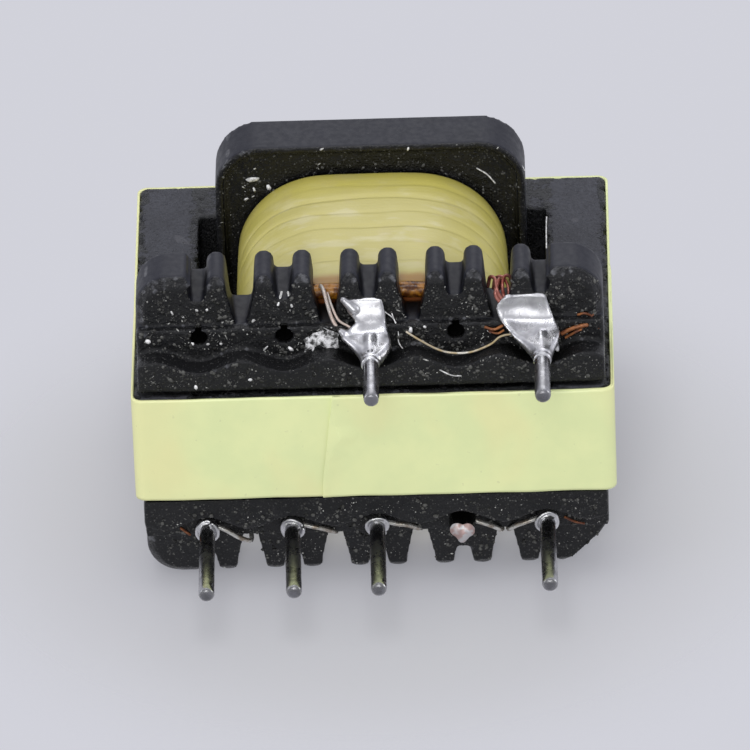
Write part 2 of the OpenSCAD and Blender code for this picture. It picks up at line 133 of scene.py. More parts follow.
class Tree:
    """A node tree being built: add() makes a node and sets its inputs, the rest are common nodes."""

    def __init__(self, tree):
        self.tree = tree

    def add(self, kind, settings=None, **values):
        node = self.tree.nodes.new(kind)
        for key, value in (settings or {}).items():
            setattr(node, key, value)
        for key, value in values.items():
            self.put(node, key.replace("_", " "), value)
        return node

    def put(self, node, key, value):
        socket = node.inputs[int(key[1:])] if key[0] == "i" and key[1:].isdigit() else node.inputs[key]
        if isinstance(value, bpy.types.NodeSocket):
            self.tree.links.new(value, socket)
        elif socket.type == "RGBA" and len(value) == 3:
            socket.default_value = (*value, 1)
        else:
            socket.default_value = value

    def math(self, operation, a, b=0.0):
        return self.add("ShaderNodeMath", {"operation": operation}, i0=a, i1=b).outputs[0]

    def times(self, a, b):
        return self.math("MULTIPLY", a, b)

    def plus(self, a, b):
        return self.math("ADD", a, b)

    def ramp(self, value, low, high, to_low=0.0, to_high=1.0):
        """A smooth step from to_low at low to to_high at high."""
        node = self.add("ShaderNodeMapRange", {"interpolation_type": "SMOOTHSTEP"}, Value=value,
                        From_Min=low, From_Max=high, To_Min=to_low, To_Max=to_high)
        return node.outputs[0]

    def blend(self, share, a, b):
        """Colour a where share is 0, colour b where it is 1."""
        node = self.add("ShaderNodeMix", {"data_type": "RGBA"}, i0=share, i6=a, i7=b)
        return node.outputs[2]

    def over(self, colour, coat, share, amount):
        """The colour under a coat of another, which is as thick as amount where share is 1."""
        return self.blend(self.times(share, amount), colour, coat)

    def between(self, share, a, b):
        """Number a where share is 0, number b where it is 1."""
        return self.add("ShaderNodeMix", {"data_type": "FLOAT"}, i0=share, i2=a, i3=b).outputs[0]

    def place(self, stretch=(1, 1, 1)):
        """The point on the surface in millimetres, stretched along each axis."""
        spot = self.add("ShaderNodeTexCoord").outputs["Object"]
        scale = [1 / MM / share for share in stretch]
        return self.add("ShaderNodeVectorMath", {"operation": "MULTIPLY"}, i0=spot, i1=scale).outputs[0]

    def axis(self, vector, name):
        return self.add("ShaderNodeSeparateXYZ", Vector=vector).outputs[name]

    def cloud(self, place, size, detail=2.0, roughness=0.5):
        """Soft noise whose lumps are about this size in millimetres."""
        return self.add("ShaderNodeTexNoise", Vector=place, Scale=1 / size, Detail=detail,
                        Roughness=roughness).outputs["Fac"]

    def openness(self, reach):
        """1 out in the open, falling towards 0 in corners and holes up to this many millimetres wide."""
        return self.add("ShaderNodeAmbientOcclusion", {"samples": 5}, Distance=reach * MM).outputs["AO"]

    def relief(self, height, depth=1.0):
        """A normal bent by a height in millimetres."""
        return self.add("ShaderNodeBump", Strength=1.0, Distance=depth * MM, Height=height).outputs[0]

    def effect(self, group, **values):
        return self.add("ShaderNodeGroup", {"node_tree": group}, **values).outputs

    def surface(self, **values):
        """Ends the tree in a Principled shader with these inputs."""
        shader = self.add("ShaderNodeBsdfPrincipled", **values)
        self.add("ShaderNodeOutputMaterial", Surface=shader.outputs[0])


def effect_group(name, given, results):
    """An empty shader group with named numbers in and out, and the tree to build it in."""
    group = bpy.data.node_groups.new(name, "ShaderNodeTree")
    for label, value in given.items():
        socket = group.interface.new_socket(label, in_out="INPUT", socket_type="NodeSocketFloat")
        socket.default_value = value
    for label in results:
        group.interface.new_socket(label, in_out="OUTPUT", socket_type="NodeSocketFloat")
    t = Tree(group)
    return group, t, t.add("NodeGroupInput").outputs, t.add("NodeGroupOutput")


def new_tree(owner):
    owner.use_nodes = True
    owner.node_tree.nodes.clear()
    return Tree(owner.node_tree)


def make_world():
    world = bpy.data.worlds.new("tent")
    bpy.context.scene.world = world
    t = new_tree(world)
    path = t.add("ShaderNodeLightPath").outputs
    seen = t.math("MAXIMUM", path["Is Camera Ray"], path["Is Glossy Ray"])
    seen = t.math("MAXIMUM", seen, path["Is Transmission Ray"])
    light = t.add("ShaderNodeBackground", Color=TENT, Strength=TENT_STRENGTH)
    shown = t.add("ShaderNodeBackground", Color=PALE, Strength=1.0)
    mix = t.add("ShaderNodeMixShader", Fac=seen, i1=light.outputs[0], i2=shown.outputs[0])
    t.add("ShaderNodeOutputWorld", Surface=mix.outputs[0])


def make_lamp(name, direction, distance, size, watts):
    data = bpy.data.lights.new(name, "AREA")
    data.shape, data.size, data.energy = "DISK", size, watts
    lamp = bpy.data.objects.new(name, data)
    bpy.context.scene.collection.objects.link(lamp)
    away = Vector(direction).normalized()
    lamp.location = MIDDLE + away * distance
    lamp.rotation_euler = away.to_track_quat("Z", "Y").to_euler()


def make_sheet(name, centre, facing, reach):
    """A pale sheet that fades out at its edge, and is clear from behind and to the lamps."""
    material = bpy.data.materials.new(name)
    t = new_tree(material)
    place = t.add("ShaderNodeTexCoord").outputs["Object"]
    away = t.add("ShaderNodeVectorMath", {"operation": "LENGTH"}, i0=place).outputs["Value"]
    fade = t.ramp(away, FADE_FROM * reach, FADE_TO * reach)
    clear = t.math("MAXIMUM", fade, t.add("ShaderNodeNewGeometry").outputs["Backfacing"])
    cloth = t.add("ShaderNodeBsdfDiffuse", Color=SHEET_CLOTH)
    glow = t.add("ShaderNodeEmission", Color=PALE, Strength=SHEET_GLOW)
    lit = t.add("ShaderNodeAddShader", i0=cloth.outputs[0], i1=glow.outputs[0])
    see = t.add("ShaderNodeBsdfTransparent")
    mix = t.add("ShaderNodeMixShader", Fac=clear, i1=lit.outputs[0], i2=see.outputs[0])
    t.add("ShaderNodeOutputMaterial", Surface=mix.outputs[0])
    mesh = bpy.data.meshes.new(name)
    turn = Vector(facing).to_track_quat("Z", "Y").to_matrix()
    corners = [Vector((x, y, 0)) * reach for x, y in ((-1, -1), (1, -1), (1, 1), (-1, 1))]
    mesh.from_pydata(corners, [], [(0, 1, 2, 3)])
    mesh.materials.append(material)
    sheet = bpy.data.objects.new(name, mesh)
    sheet.matrix_world = Matrix.Translation(centre) @ turn.to_4x4()
    bpy.context.scene.collection.objects.link(sheet)
    sheet.visible_shadow = sheet.visible_diffuse = False


make_world()
for lamp in LAMPS:
    make_lamp(*lamp)
make_sheet("bench", Vector((MIDDLE.x, cad_high.y + 0.02 * MM, MIDDLE.z)), (0, -1, 0),
           SHEET_REACH)
make_sheet("floor", Vector((MIDDLE.x, MIDDLE.y, cad_low.z - 0.01 * MM)), (0, 0, 1),
           2 * SHEET_REACH)


# ---------------------------------------------------------------------------
# Moulded bobbin
# Black phenolic: a tube with an upper flange, a lower flange and two terminal
# rails, pressed in one shot, so every edge is a little round. It was dipped in
# varnish with the windings, and the film is thick on the board side.
# ---------------------------------------------------------------------------
def make_speck_effect():
    """Fine specks, such as dust and tiny bubbles: one in each cell, in a share of the cells."""
    group, t, given, result = effect_group(
        "specks", {"Spacing": 0.3, "Share": 0.3, "Radius": 0.25}, ["Mask"])
    warp = t.add("ShaderNodeTexNoise", Vector=t.place(), Scale=1 / 0.15, Detail=1.0)
    warp = t.add("ShaderNodeVectorMath", {"operation": "SCALE"}, i0=warp.outputs["Color"], Scale=0.08)
    spot = t.add("ShaderNodeVectorMath", i0=t.place(), i1=warp.outputs[0])
    cells = t.add("ShaderNodeTexVoronoi", Vector=spot.outputs[0],
                  Scale=t.math("DIVIDE", 1.0, given["Spacing"]))
    chance = t.add("ShaderNodeSeparateColor", Color=cells.outputs["Color"])
    there = t.math("LESS_THAN", chance.outputs[0], given["Share"])
    reach = t.times(given["Radius"], t.plus(0.4, chance.outputs[1]))
    near = t.ramp(cells.outputs["Distance"], reach, t.times(reach, 0.45))
    mask = t.times(near, t.ramp(chance.outputs[2], 0, 1, 0.35, 1))
    t.put(result, "Mask", t.times(mask, there))
    return group


def make_film_effect():
    """Dried varnish: its height in millimetres, and how wet it looks from place to place."""
    group, t, given, result = effect_group(
        "varnish film", {"Lump": 0.5, "Height": 0.03}, ["Height", "Wet"])
    spot = t.place()
    swell = t.add("ShaderNodeTexNoise", Vector=spot, Scale=t.math("DIVIDE", 1.0, given["Lump"]),
                  Detail=3.0, Roughness=0.55)
    ripple = t.times(t.cloud(spot, 0.13, 3.0, 0.65), 0.55)
    height = t.times(t.plus(swell.outputs["Fac"], ripple), given["Height"])
    t.put(result, "Height", height)
    t.put(result, "Wet", t.ramp(t.cloud(spot, 1.3, 2.0), 0.36, 0.6))
    return group


def make_edge_effect():
    """Where an edge stands out: 1 on a sharp outer edge, 0 on flat and hollow places."""
    group, t, given, result = effect_group("edges", {"Sharpness": 0.08}, ["Mask"])
    bend = t.add("ShaderNodeNewGeometry").outputs["Pointiness"]
    mask = t.ramp(bend, OUTER_BEND, t.plus(OUTER_BEND, given["Sharpness"]))
    t.put(result, "Mask", mask)
    return group


OUTER_BEND = 0.54
SPECKS = make_speck_effect()
FILM = make_film_effect()
EDGES = make_edge_effect()


def new_finish(name):
    """A new material, its tree, and the point on its surface in millimetres."""
    material = bpy.data.materials.new(name)
    t = new_tree(material)
    return material, t, t.place()


def moulding_finish():
    """Satin black moulding; the film lies on what faces the board. Corners and holes are darkened with painted
    shade, and outer edges lightened, partly rubbed wear and partly painted highlight.
    """
    material, t, spot = new_finish("moulding")
    facing = t.add("ShaderNodeTexCoord").outputs["Normal"]
    board_side = t.ramp(t.axis(facing, "Z"), -0.25, -0.75)
    board_side = t.math("MAXIMUM", board_side, t.ramp(t.axis(spot, "Z"), 1.70, 1.50))
    film = t.effect(FILM, Lump=0.42, Height=0.09)
    dust = t.effect(SPECKS, Spacing=0.10, Share=0.5, Radius=0.42)["Mask"]
    coarse = t.effect(SPECKS, Spacing=0.30, Share=0.10, Radius=0.18)["Mask"]
    dust = t.math("MAXIMUM", t.times(dust, 0.12), t.times(coarse, 0.3))
    dust = t.times(dust, t.between(board_side, 0.10, 1.0))
    worn = t.effect(EDGES, Sharpness=0.10)["Mask"]
    open_air = t.openness(1.4)
    plastic = t.blend(t.cloud(spot, 0.9, 3.0), MOULDING, MOULDING_PALE)
    plastic = t.over(plastic, MOULDING_SOAKED, board_side, 0.75)
    # outer edges lighter: partly rubbed wear, partly painted highlight along the rounded edges
    rubbed_and_lit_edges = t.times(worn, t.ramp(t.cloud(spot, 0.35, 3.0, 0.7), 0.42, 0.62, 0.25, 1.0))
    plastic = t.blend(rubbed_and_lit_edges, plastic, MOULDING_WEAR_AND_EDGE_HIGHLIGHT)
    colour = t.blend(dust, plastic, DUST)
    # painted shade: darker in corners and holes, where little light reaches
    colour = t.blend(t.ramp(open_air, 0.75, 0.25), colour, CORNER_PAINTED_SHADE)
    dry = t.ramp(t.cloud(spot, 0.25, 3.0), 0.3, 0.7, 0.40, 0.52)
    rough = t.between(board_side, dry, t.between(film["Wet"], 0.26, 0.12))
    grain = t.times(t.cloud(spot, 0.05, 2.0), 0.004)
    height = t.times(film["Height"], t.between(board_side, 0.05, 1.0))
    height = t.plus(t.plus(grain, height), t.times(dust, 0.05))
    t.surface(Base_Color=colour, Roughness=rough, Specular_IOR_Level=0.30, Normal=t.relief(height))
    return material


MOULDING = (0.006, 0.007, 0.013)
MOULDING_PALE = (0.012, 0.013, 0.022)
MOULDING_WEAR_AND_EDGE_HIGHLIGHT = (0.085, 0.087, 0.098)
MOULDING_SOAKED = (0.010, 0.010, 0.009)
CORNER_PAINTED_SHADE = (0.0015, 0.0015, 0.0012)
DUST = (0.42, 0.42, 0.40)


def cad_form(node):
    """The CAD node's surface as a welded bmesh, in millimetres."""
    form = bmesh.new()
    form.from_mesh(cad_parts[node].data)
    bmesh.ops.remove_doubles(form, verts=form.verts, dist=1e-7)
    bmesh.ops.scale(form, vec=(1 / MM,) * 3, verts=form.verts)
    return form


def keep_beyond(form, point, direction):
    """Cuts the form at a plane, keeps what lies in the direction and closes the cut."""
    parts = form.verts[:] + form.edges[:] + form.faces[:]
    cut = bmesh.ops.bisect_plane(form, geom=parts, plane_co=point, plane_no=direction,
                                 dist=1e-5, clear_inner=True)
    edges = [e for e in cut["geom_cut"] if isinstance(e, bmesh.types.BMEdge)]
    bmesh.ops.triangle_fill(form, edges=edges, use_beauty=True)


def object_from(form, name, finish, flat=False):
    """Turns a bmesh in millimetres into a piece in metres that rides with the transformer."""
    bmesh.ops.scale(form, vec=(MM,) * 3, verts=form.verts)
    mesh = bpy.data.meshes.new(name)
    form.to_mesh(mesh)
    form.free()
    mesh.polygons.foreach_set("use_smooth", [not flat] * len(mesh.polygons))
    mesh.materials.append(finish)
    piece = bpy.data.objects.new(name, mesh)
    bpy.context.scene.collection.objects.link(piece)
    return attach(piece, "root")


def reshaped(form, modifiers):
    """The form after these modifiers: each is a kind and its settings."""
    mesh = bpy.data.meshes.new("blank")
    form.to_mesh(mesh)
    form.free()
    blank = bpy.data.objects.new("blank", mesh)
    bpy.context.scene.collection.objects.link(blank)
    for kind, settings in modifiers:
        modifier = blank.modifiers.new(kind, kind)
        for key, value in settings.items():
            setattr(modifier, key, value)
    result = bmesh.new()
    result.from_object(blank, bpy.context.evaluated_depsgraph_get())
    bpy.data.objects.remove(blank)
    bpy.data.meshes.remove(mesh)
    return result


def soft_edged(form, voxel, passes):
    """The same solid with its edges rounded, as an even skin of small faces."""
    return reshaped(form, [
        ("REMESH", {"mode": "VOXEL", "voxel_size": voxel, "adaptivity": 0}),
        ("SMOOTH", {"factor": 0.5, "iterations": passes}),
    ])


def thinned(form, share):
    """The same surface with this share of its faces, where it is flat first."""
    return reshaped(form, [("DECIMATE", {"ratio": share})])


def push(form, height):
    """Moves every point of the form along its normal by height(point, normal), in millimetres."""
    form.normal_update()
    for v in form.verts:
        v.co += v.normal * height(v.co, v.normal)


def lumps(point, size):
    return noise.noise(point / size + Vector((7.3, 3.1, 1.7)))


def film_height(point, normal):
    """The film on the moulding: thick and lumpy towards the board, a skin elsewhere."""
    thick = max(0.0, min(1.0, -1.6 * normal.z - 0.3))
    return 0.006 * lumps(point, 1.1) + thick * (0.030 * lumps(point, 0.8) + 0.020 * lumps(point, 0.32))


core_low, core_high = (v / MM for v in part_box("core_lower"))
winding_low, winding_high = (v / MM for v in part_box("winding_cover"))
rail_cut = core_high.y + 0.15
half_way = (winding_low.z + winding_high.z) / 2 + 1.5
moulding = moulding_finish()


def bobbin_piece(name, cuts, voxel, passes=3, share=1):
    """What is left of the bobbin after these cuts, with this size of face and share of them kept."""
    form = cad_form("bobbin")
    for point, direction in cuts:
        keep_beyond(form, point, direction)
    form = soft_edged(form, voxel, passes)
    push(form, film_height)
    if share < 1:
        form = thinned(form, share)
    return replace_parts(object_from(form, name, moulding), "bobbin")


below = ((0, 0, half_way), (0, 0, -1))
bobbin_flange = bobbin_piece("bobbin_upper_flange", [((0, 0, half_way), (0, 0, 1))], voxel=0.100)
bobbin_front = bobbin_piece("bobbin_front_rail", [below, ((0, -rail_cut, 0), (0, -1, 0))], voxel=0.078)
bobbin_rear = bobbin_piece("bobbin_rear_rail", [below, ((0, rail_cut, 0), (0, 1, 0))], voxel=0.092)
bobbin_piece("bobbin_tube", [below, ((0, rail_cut, 0), (0, -1, 0)), ((0, -rail_cut, 0), (0, 1, 0))],
             voxel=0.12, passes=2, share=0.5)


# ---------------------------------------------------------------------------
# Ferrite core halves
# Two E halves of sintered ferrite, ground where they meet and as fired
# elsewhere: a fine matt grey grain with pits, and small chips along the
# sharp edges beside the tape and round the windows.
# ---------------------------------------------------------------------------
def ferrite_finish():
    material, t, spot = new_finish("ferrite")
    grain = t.cloud(spot, 0.16, 4.0, 0.75)
    pits = t.effect(SPECKS, Spacing=0.24, Share=0.6, Radius=0.30)["Mask"]
    dust = t.effect(SPECKS, Spacing=0.5, Share=0.16, Radius=0.12)["Mask"]
    worn = t.effect(EDGES, Sharpness=0.06)["Mask"]
    open_air = t.openness(1.6)
    colour = t.blend(t.ramp(grain, 0.3, 0.7), FERRITE, FERRITE_PALE)
    colour = t.blend(t.ramp(t.cloud(spot, 2.2, 2.0), 0.35, 0.75, 0, 0.4), colour, FERRITE_DARK)
    colour = t.over(colour, FERRITE_DARK, pits, 0.55)
    colour = t.over(colour, FERRITE_WORN, worn, 0.45)
    colour = t.over(colour, DUST, dust, 0.8)
    # dirt and varnish in ragged patches along the edges of the windows and beside the tape
    across = t.math("ABSOLUTE", t.axis(spot, "X"))
    ragged = t.times(t.math("SUBTRACT", t.cloud(spot, 0.45, 3.0, 0.7), 0.5), 2.2)
    by_window = t.math("SUBTRACT", t.ramp(across, window_side + 0.75, window_side + 0.05), ragged)
    by_tape = t.math("SUBTRACT", t.ramp(across, core_high.x - 0.8, core_high.x - 0.05), ragged)
    soiled = t.ramp(t.math("MAXIMUM", by_window, by_tape), 0.75, 0.95)
    colour = t.over(colour, FERRITE_SOILED, soiled, 0.8)
    # painted shade: darker in the windows and corners, where little light reaches
    colour = t.blend(t.ramp(open_air, 0.70, 0.30), colour, CORNER_PAINTED_SHADE)
    height = t.times(grain, 0.11)
    height = t.math("SUBTRACT", height, t.times(pits, 0.05))
    height = t.plus(height, t.times(soiled, t.times(t.cloud(spot, 0.14), 0.12)))
    t.surface(Base_Color=colour, Roughness=t.between(soiled, t.between(grain, 0.42, 0.58), 0.22),
              Specular_IOR_Level=0.35, Normal=t.relief(height))
    return material


FERRITE = (0.026, 0.027, 0.036)
FERRITE_PALE = (0.058, 0.061, 0.076)
FERRITE_DARK = (0.012, 0.012, 0.014)
FERRITE_SOILED = (0.005, 0.006, 0.005)
FERRITE_WORN = (0.10, 0.10, 0.115)
CHIP_DEPTH = 0.16
CHIP_REACH = 0.30
FERRITE_VOXEL = 0.09
FERRITE_SHARE = 0.45


def chipped(point, normal):
    """Chips: how far the surface is knocked back near the long edges of the core."""
    to_side = core_high.y - abs(point.y)
    rim = min(core_high.x - abs(point.x), point.z - core_low.z,
              2 * core_high.z - core_low.z - point.z)
    to_window = abs(abs(point.x) - window_side)
    to_edge = to_side + max(0.0, min(rim, to_window))
    near = max(0.0, 1 - to_edge / CHIP_REACH)
    chip = max(0.0, lumps(point, 0.55) + 0.6 * lumps(point, 0.21) - 0.12)
    return 0.012 * lumps(point, 0.4) - CHIP_DEPTH * near * min(1.0, 2.2 * chip)


core_lower = BVHTree.FromBMesh(cad_form("core_lower"))
window_side = core_lower.ray_cast(Vector((5.0, 0, core_high.z - 1)), Vector((1, 0, 0)))[0].x
ferrite = ferrite_finish()
for node in ("core_lower", "core_upper"):
    form = soft_edged(cad_form(node), FERRITE_VOXEL, 2)
    push(form, chipped)
    form = thinned(form, FERRITE_SHARE)
    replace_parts(object_from(form, node + "_ferrite", ferrite), node)


# ---------------------------------------------------------------------------
# Tape round the core
# Pale yellow-green polyester tape, two turns pulled tight round both halves of
# the core, and the end of the last turn torn off by hand on the board side.
# ---------------------------------------------------------------------------
def tape_finish():
    material, t, spot = new_finish("core_tape")
    along = t.place((1.0, 0.25, 1.0))
    mottle = t.cloud(spot, 2.6, 3.0, 0.6)
    stain = t.ramp(t.cloud(t.place((1, 1.6, 1)), 3.4, 2.0), 0.5, 0.72)
    corner = t.ramp(t.axis(spot, "X"), -6.5, -9.6)
    specks = t.effect(SPECKS, Spacing=1.5, Share=0.35, Radius=0.05)["Mask"]
    smudge = t.ramp(t.cloud(spot, 0.30, 2.0), 0.70, 0.78)
    colour = t.blend(t.ramp(mottle, 0.32, 0.68), TAPE, TAPE_GREEN)
    colour = t.over(colour, TAPE_TAN, stain, 0.5)
    colour = t.over(colour, TAPE_TAN, corner, 0.55)
    colour = t.over(colour, TAPE_DIRT, smudge, 0.16)
    colour = t.over(colour, TAPE_DIRT, specks, 0.75)
    streaks = t.cloud(along, 0.12, 2.0)
    height = t.plus(t.times(streaks, 0.006), t.times(mottle, 0.02))
    t.surface(Base_Color=colour, Roughness=t.between(mottle, 0.36, 0.5), Normal=t.relief(height))
    return material


TAPE = (0.745, 0.795, 0.415)
TAPE_GREEN = (0.690, 0.755, 0.395)
TAPE_TAN = (0.760, 0.725, 0.370)
TAPE_DIRT = (0.18, 0.17, 0.10)
TURN = 0.05
TAPE_CORNER = 0.35
TAPE_STEP = 0.24


def outline(half_x, low, high, radius, step):
    """A rounded rectangle from the middle of its low side, towards +X: points and outward normals."""
    corners = [(half_x - radius, low + radius, -90), (half_x - radius, high - radius, 0),
               (radius - half_x, high - radius, 90), (radius - half_x, low + radius, 180)]
    marks = [((0.0, low), (0.0, -1.0))]
    for x, z, start in corners:
        for k in range(9):
            turn = math.radians(start + 90 * k / 8)
            marks.append(((x + radius * math.cos(turn), z + radius * math.sin(turn)),
                          (math.cos(turn), math.sin(turn))))
    marks.append(marks[0])
    path = []
    for (p, n), (q, m) in zip(marks, marks[1:]):
        count = max(1, math.ceil(math.dist(p, q) / step))
        path += [(Vector(p).lerp(Vector(q), k / count), Vector(n).lerp(Vector(m), k / count).normalized())
                 for k in range(count)]
    return path


def grid(form, rows, closed):
    """Faces between rows of points; the last row joins the first if closed."""
    made = [[form.verts.new(p) for p in row] for row in rows]
    pairs = list(zip(made, made[1:])) + ([(made[-1], made[0])] if closed else [])
    for row, other in pairs:
        for k in range(len(row) - 1):
            form.faces.new((row[k], row[k + 1], other[k + 1], other[k]))
    return made


def band(path, across, inner, outer, closed):
    """A tape laid along a path in XZ: across is its points along Y, inner and outer its offsets."""
    form = bmesh.new()
    rows = []
    for point, normal in path:
        row = []
        for y in across:
            out = outer(point, y)
            row.append(Vector((point.x + normal.x * out, y, point.y + normal.y * out)))
        for y in (across[-1], across[0]):
            deep = inner(point, y)
            row.append(Vector((point.x + normal.x * deep, y, point.y + normal.y * deep)))
        rows.append(row + [row[0]])
    made = grid(form, rows, closed)
    if not closed:
        for row in (made[0], made[-1]):
            form.faces.new(row[:-1])
    bmesh.ops.remove_doubles(form, verts=form.verts, dist=1e-6)
    bmesh.ops.recalc_face_normals(form, faces=form.faces)
    return form


tape_low, tape_high = (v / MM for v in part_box("core_tape"))
core_top = 2 * core_high.z - core_low.z
tape_across = [tape_low.y + (tape_high.y - tape_low.y) * k / 40 for k in range(41)]
core_path = outline(core_high.x, core_low.z, core_top, TAPE_CORNER, TAPE_STEP)
tape = tape_finish()


def edge_wave(y, x, z):
    """The cut edges of a tape wander a little; its middle stays."""
    share = y / tape_high.y
    return y - 0.03 * share ** 5 * (1 + noise.noise(Vector((x * 0.6, z * 0.6, 4 * math.copysign(1, y)))))


def turns_height(point, y):
    spot = Vector((point.x, y, point.y))
    seam = math.exp(-((point.y - core_high.z) / 0.12) ** 2)
    return 2 * TURN + 0.012 * lumps(spot, 2.3) + 0.004 * lumps(spot, 0.7) - 0.02 * seam


form = band(core_path, tape_across, lambda point, y: 0.004, turns_height, True)
for v in form.verts:
    v.co.y = edge_wave(v.co.y, v.co.x, v.co.z)
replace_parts(object_from(form, "core_tape_turns", tape), "core_tape")

TEAR = [(-2.4, -1.62), (-1.1, -1.60), (-0.55, -1.34), (0.15, -1.66), (0.8, -1.92), (1.6, -2.10), (2.4, -2.12)]
TAIL_TOP = 9.6
TAIL_START = -2.0


def tear(y):
    """X of the torn end at this Y, with small teeth."""
    for (y0, x0), (y1, x1) in zip(TEAR, TEAR[1:]):
        if y <= y1:
            break
    share = max(0.0, min(1.0, (y - y0) / (y1 - y0)))
    return x0 + (x1 - x0) * share * share * (3 - 2 * share) + 0.05 * lumps(Vector((y, 0, 0)), 0.22)


def tail_height(point, y):
    spot = Vector((point.x + 40, y, point.y))
    lift = 0.035 * max(0.0, 1 - (point.x - tear(y)) / 0.5) if point.y < 1 else 0.0
    fade = max(0.0, min(1.0, (TAIL_TOP - point.y) / 0.6))
    return 2 * TURN + TURN * fade + 0.010 * lumps(spot, 2.0) + 0.004 * lumps(spot, 0.6) + lift * fade


tail_path = [(p, n) for p, n in core_path if (p.x > 0 or p.y < 0.5 and p.x > -0.5) and p.y < TAIL_TOP]
tail_path = sorted(tail_path, key=lambda row: (row[0].y if row[0].x > 9.3 else -99, row[0].x))
lead_in = [(Vector((x, core_low.z)), Vector((0, -1))) for x in np.linspace(TAIL_START, -0.6, 12)]
form = band(lead_in + tail_path, tape_across, lambda point, y: 1.6 * TURN, tail_height, False)
for v in form.verts:
    if v.co.x < 0 and v.co.z < 1:
        share = 1 - v.co.x / TAIL_START
        v.co.x = tear(v.co.y) * (1 - share)
    v.co.y = edge_wave(v.co.y, v.co.x + 3, v.co.z)
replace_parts(object_from(form, "core_tape_tail", tape), "core_tape")


# ---------------------------------------------------------------------------
# Winding stack and its cover tape
# Copper windings with yellow tape between them, and one layer of the same tape
# over them all, pulled over the bulging stack so that it creases along its
# length. Varnish has browned its edges. The lower part of the cover is darkened
# as painted shade behind the front rail, and its foot and what shows under it in
# the gaps are partly varnish brown and partly painted shade. Cream patches in
# the middle of its front are partly painted sheen.
# ---------------------------------------------------------------------------
def cover_finish():
    material, t, spot = new_finish("cover_tape")
    bands = t.cloud(t.place((1.0, 1.0, 0.30)), 1.8, 2.0, 0.5)
    height_up = t.axis(spot, "Z")
    to_top = t.ramp(height_up, winding_high.z - 2.4, winding_high.z - 0.5)
    side = t.ramp(t.math("ABSOLUTE", t.axis(spot, "X")), 3.0, 5.4)
    golden = t.math("MAXIMUM", to_top, side)
    golden = t.times(golden, t.ramp(bands, 0.25, 0.6, 0.55, 1.0))
    # cream patches, which show in the middle of the front between the golden top and sides: partly the tape's
    # colour, partly painted sheen
    cream_and_sheen = t.ramp(t.cloud(t.place((1.6, 1.0, 0.7)), 1.4, 3.0, 0.6), 0.50, 0.66)
    colour = t.over(COVER, COVER_CREAM_AND_SHEEN, cream_and_sheen, 0.8)
    colour = t.blend(golden, colour, COVER_GOLD)
    # painted shade: the lower part of the cover darker towards its foot, behind the front rail
    painted_shade_low_down = t.ramp(height_up, winding_low.z + 3.4, winding_low.z + 0.8)
    colour = t.over(colour, COVER_PAINTED_SHADE, painted_shade_low_down, 0.6)
    edge = t.ramp(height_up, winding_high.z - 0.75, winding_high.z - 0.15)
    colour = t.over(colour, COVER_OLIVE, edge, 0.45)
    colour = t.blend(t.times(t.ramp(t.cloud(spot, 1.2, 2.0), 0.56, 0.72), 0.15),
                     colour, COVER_SMUDGE)
    # the foot of the cover: partly varnish stain, partly painted shade under the front rail
    foot_stain_and_shade = t.ramp(t.plus(height_up, t.times(t.cloud(spot, 0.7), 0.30)),
                  winding_low.z + 1.10, winding_low.z + 0.55)
    colour = t.over(colour, VARNISH_GOLD, foot_stain_and_shade, 0.85)
    brim = t.ramp(height_up, winding_high.z - 0.07, winding_high.z - 0.01)
    colour = t.blend(brim, colour, VARNISH_BROWN)
    specks = t.effect(SPECKS, Spacing=0.9, Share=0.25, Radius=0.07)["Mask"]
    colour = t.over(colour, TAPE_DIRT, specks, 0.6)
    fine = t.cloud(t.place((1.0, 1.0, 0.14)), 0.9, 2.0, 0.5)
    film = t.effect(FILM, Lump=1.8, Height=0.010)
    height = t.plus(t.times(fine, 0.009), film["Height"])
    t.surface(Base_Color=colour, Roughness=t.between(film["Wet"], 0.38, 0.28), Specular_IOR_Level=0.35,
              Normal=t.relief(height))
    return material


def layer_finish():
    """Inner tape layers, seen at their edges: dark brown, partly soaked with varnish and partly painted shade
    in the gaps.
    """
    material = bpy.data.materials.new("layer_tape")
    t = new_tree(material)
    colour = t.blend(t.cloud(t.place(), 0.5, 3.0), VARNISH_GOLD, VARNISH_BROWN)
    film = t.effect(FILM, Lump=0.6, Height=0.04)
    t.surface(Base_Color=colour, Roughness=0.25, Normal=t.relief(film["Height"]))
    return material


def winding_finish():
    """Enamelled copper turns under varnish: a groove between neighbouring turns."""
    material, t, spot = new_finish("copper")
    turn = t.math("SINE", t.times(t.axis(spot, "Z"), 2 * math.pi / 0.2))
    shade = t.cloud(spot, 0.8, 3.0)
    colour = t.blend(t.ramp(shade, 0.3, 0.7), COPPER_DARK, COPPER)
    colour = t.blend(t.ramp(turn, -0.5, -1.0), colour, VARNISH_BROWN)
    height = t.plus(t.times(turn, 0.03), t.times(shade, 0.02))
    t.surface(Base_Color=colour, Roughness=0.28, Metallic=0.2, Normal=t.relief(height))
    return material


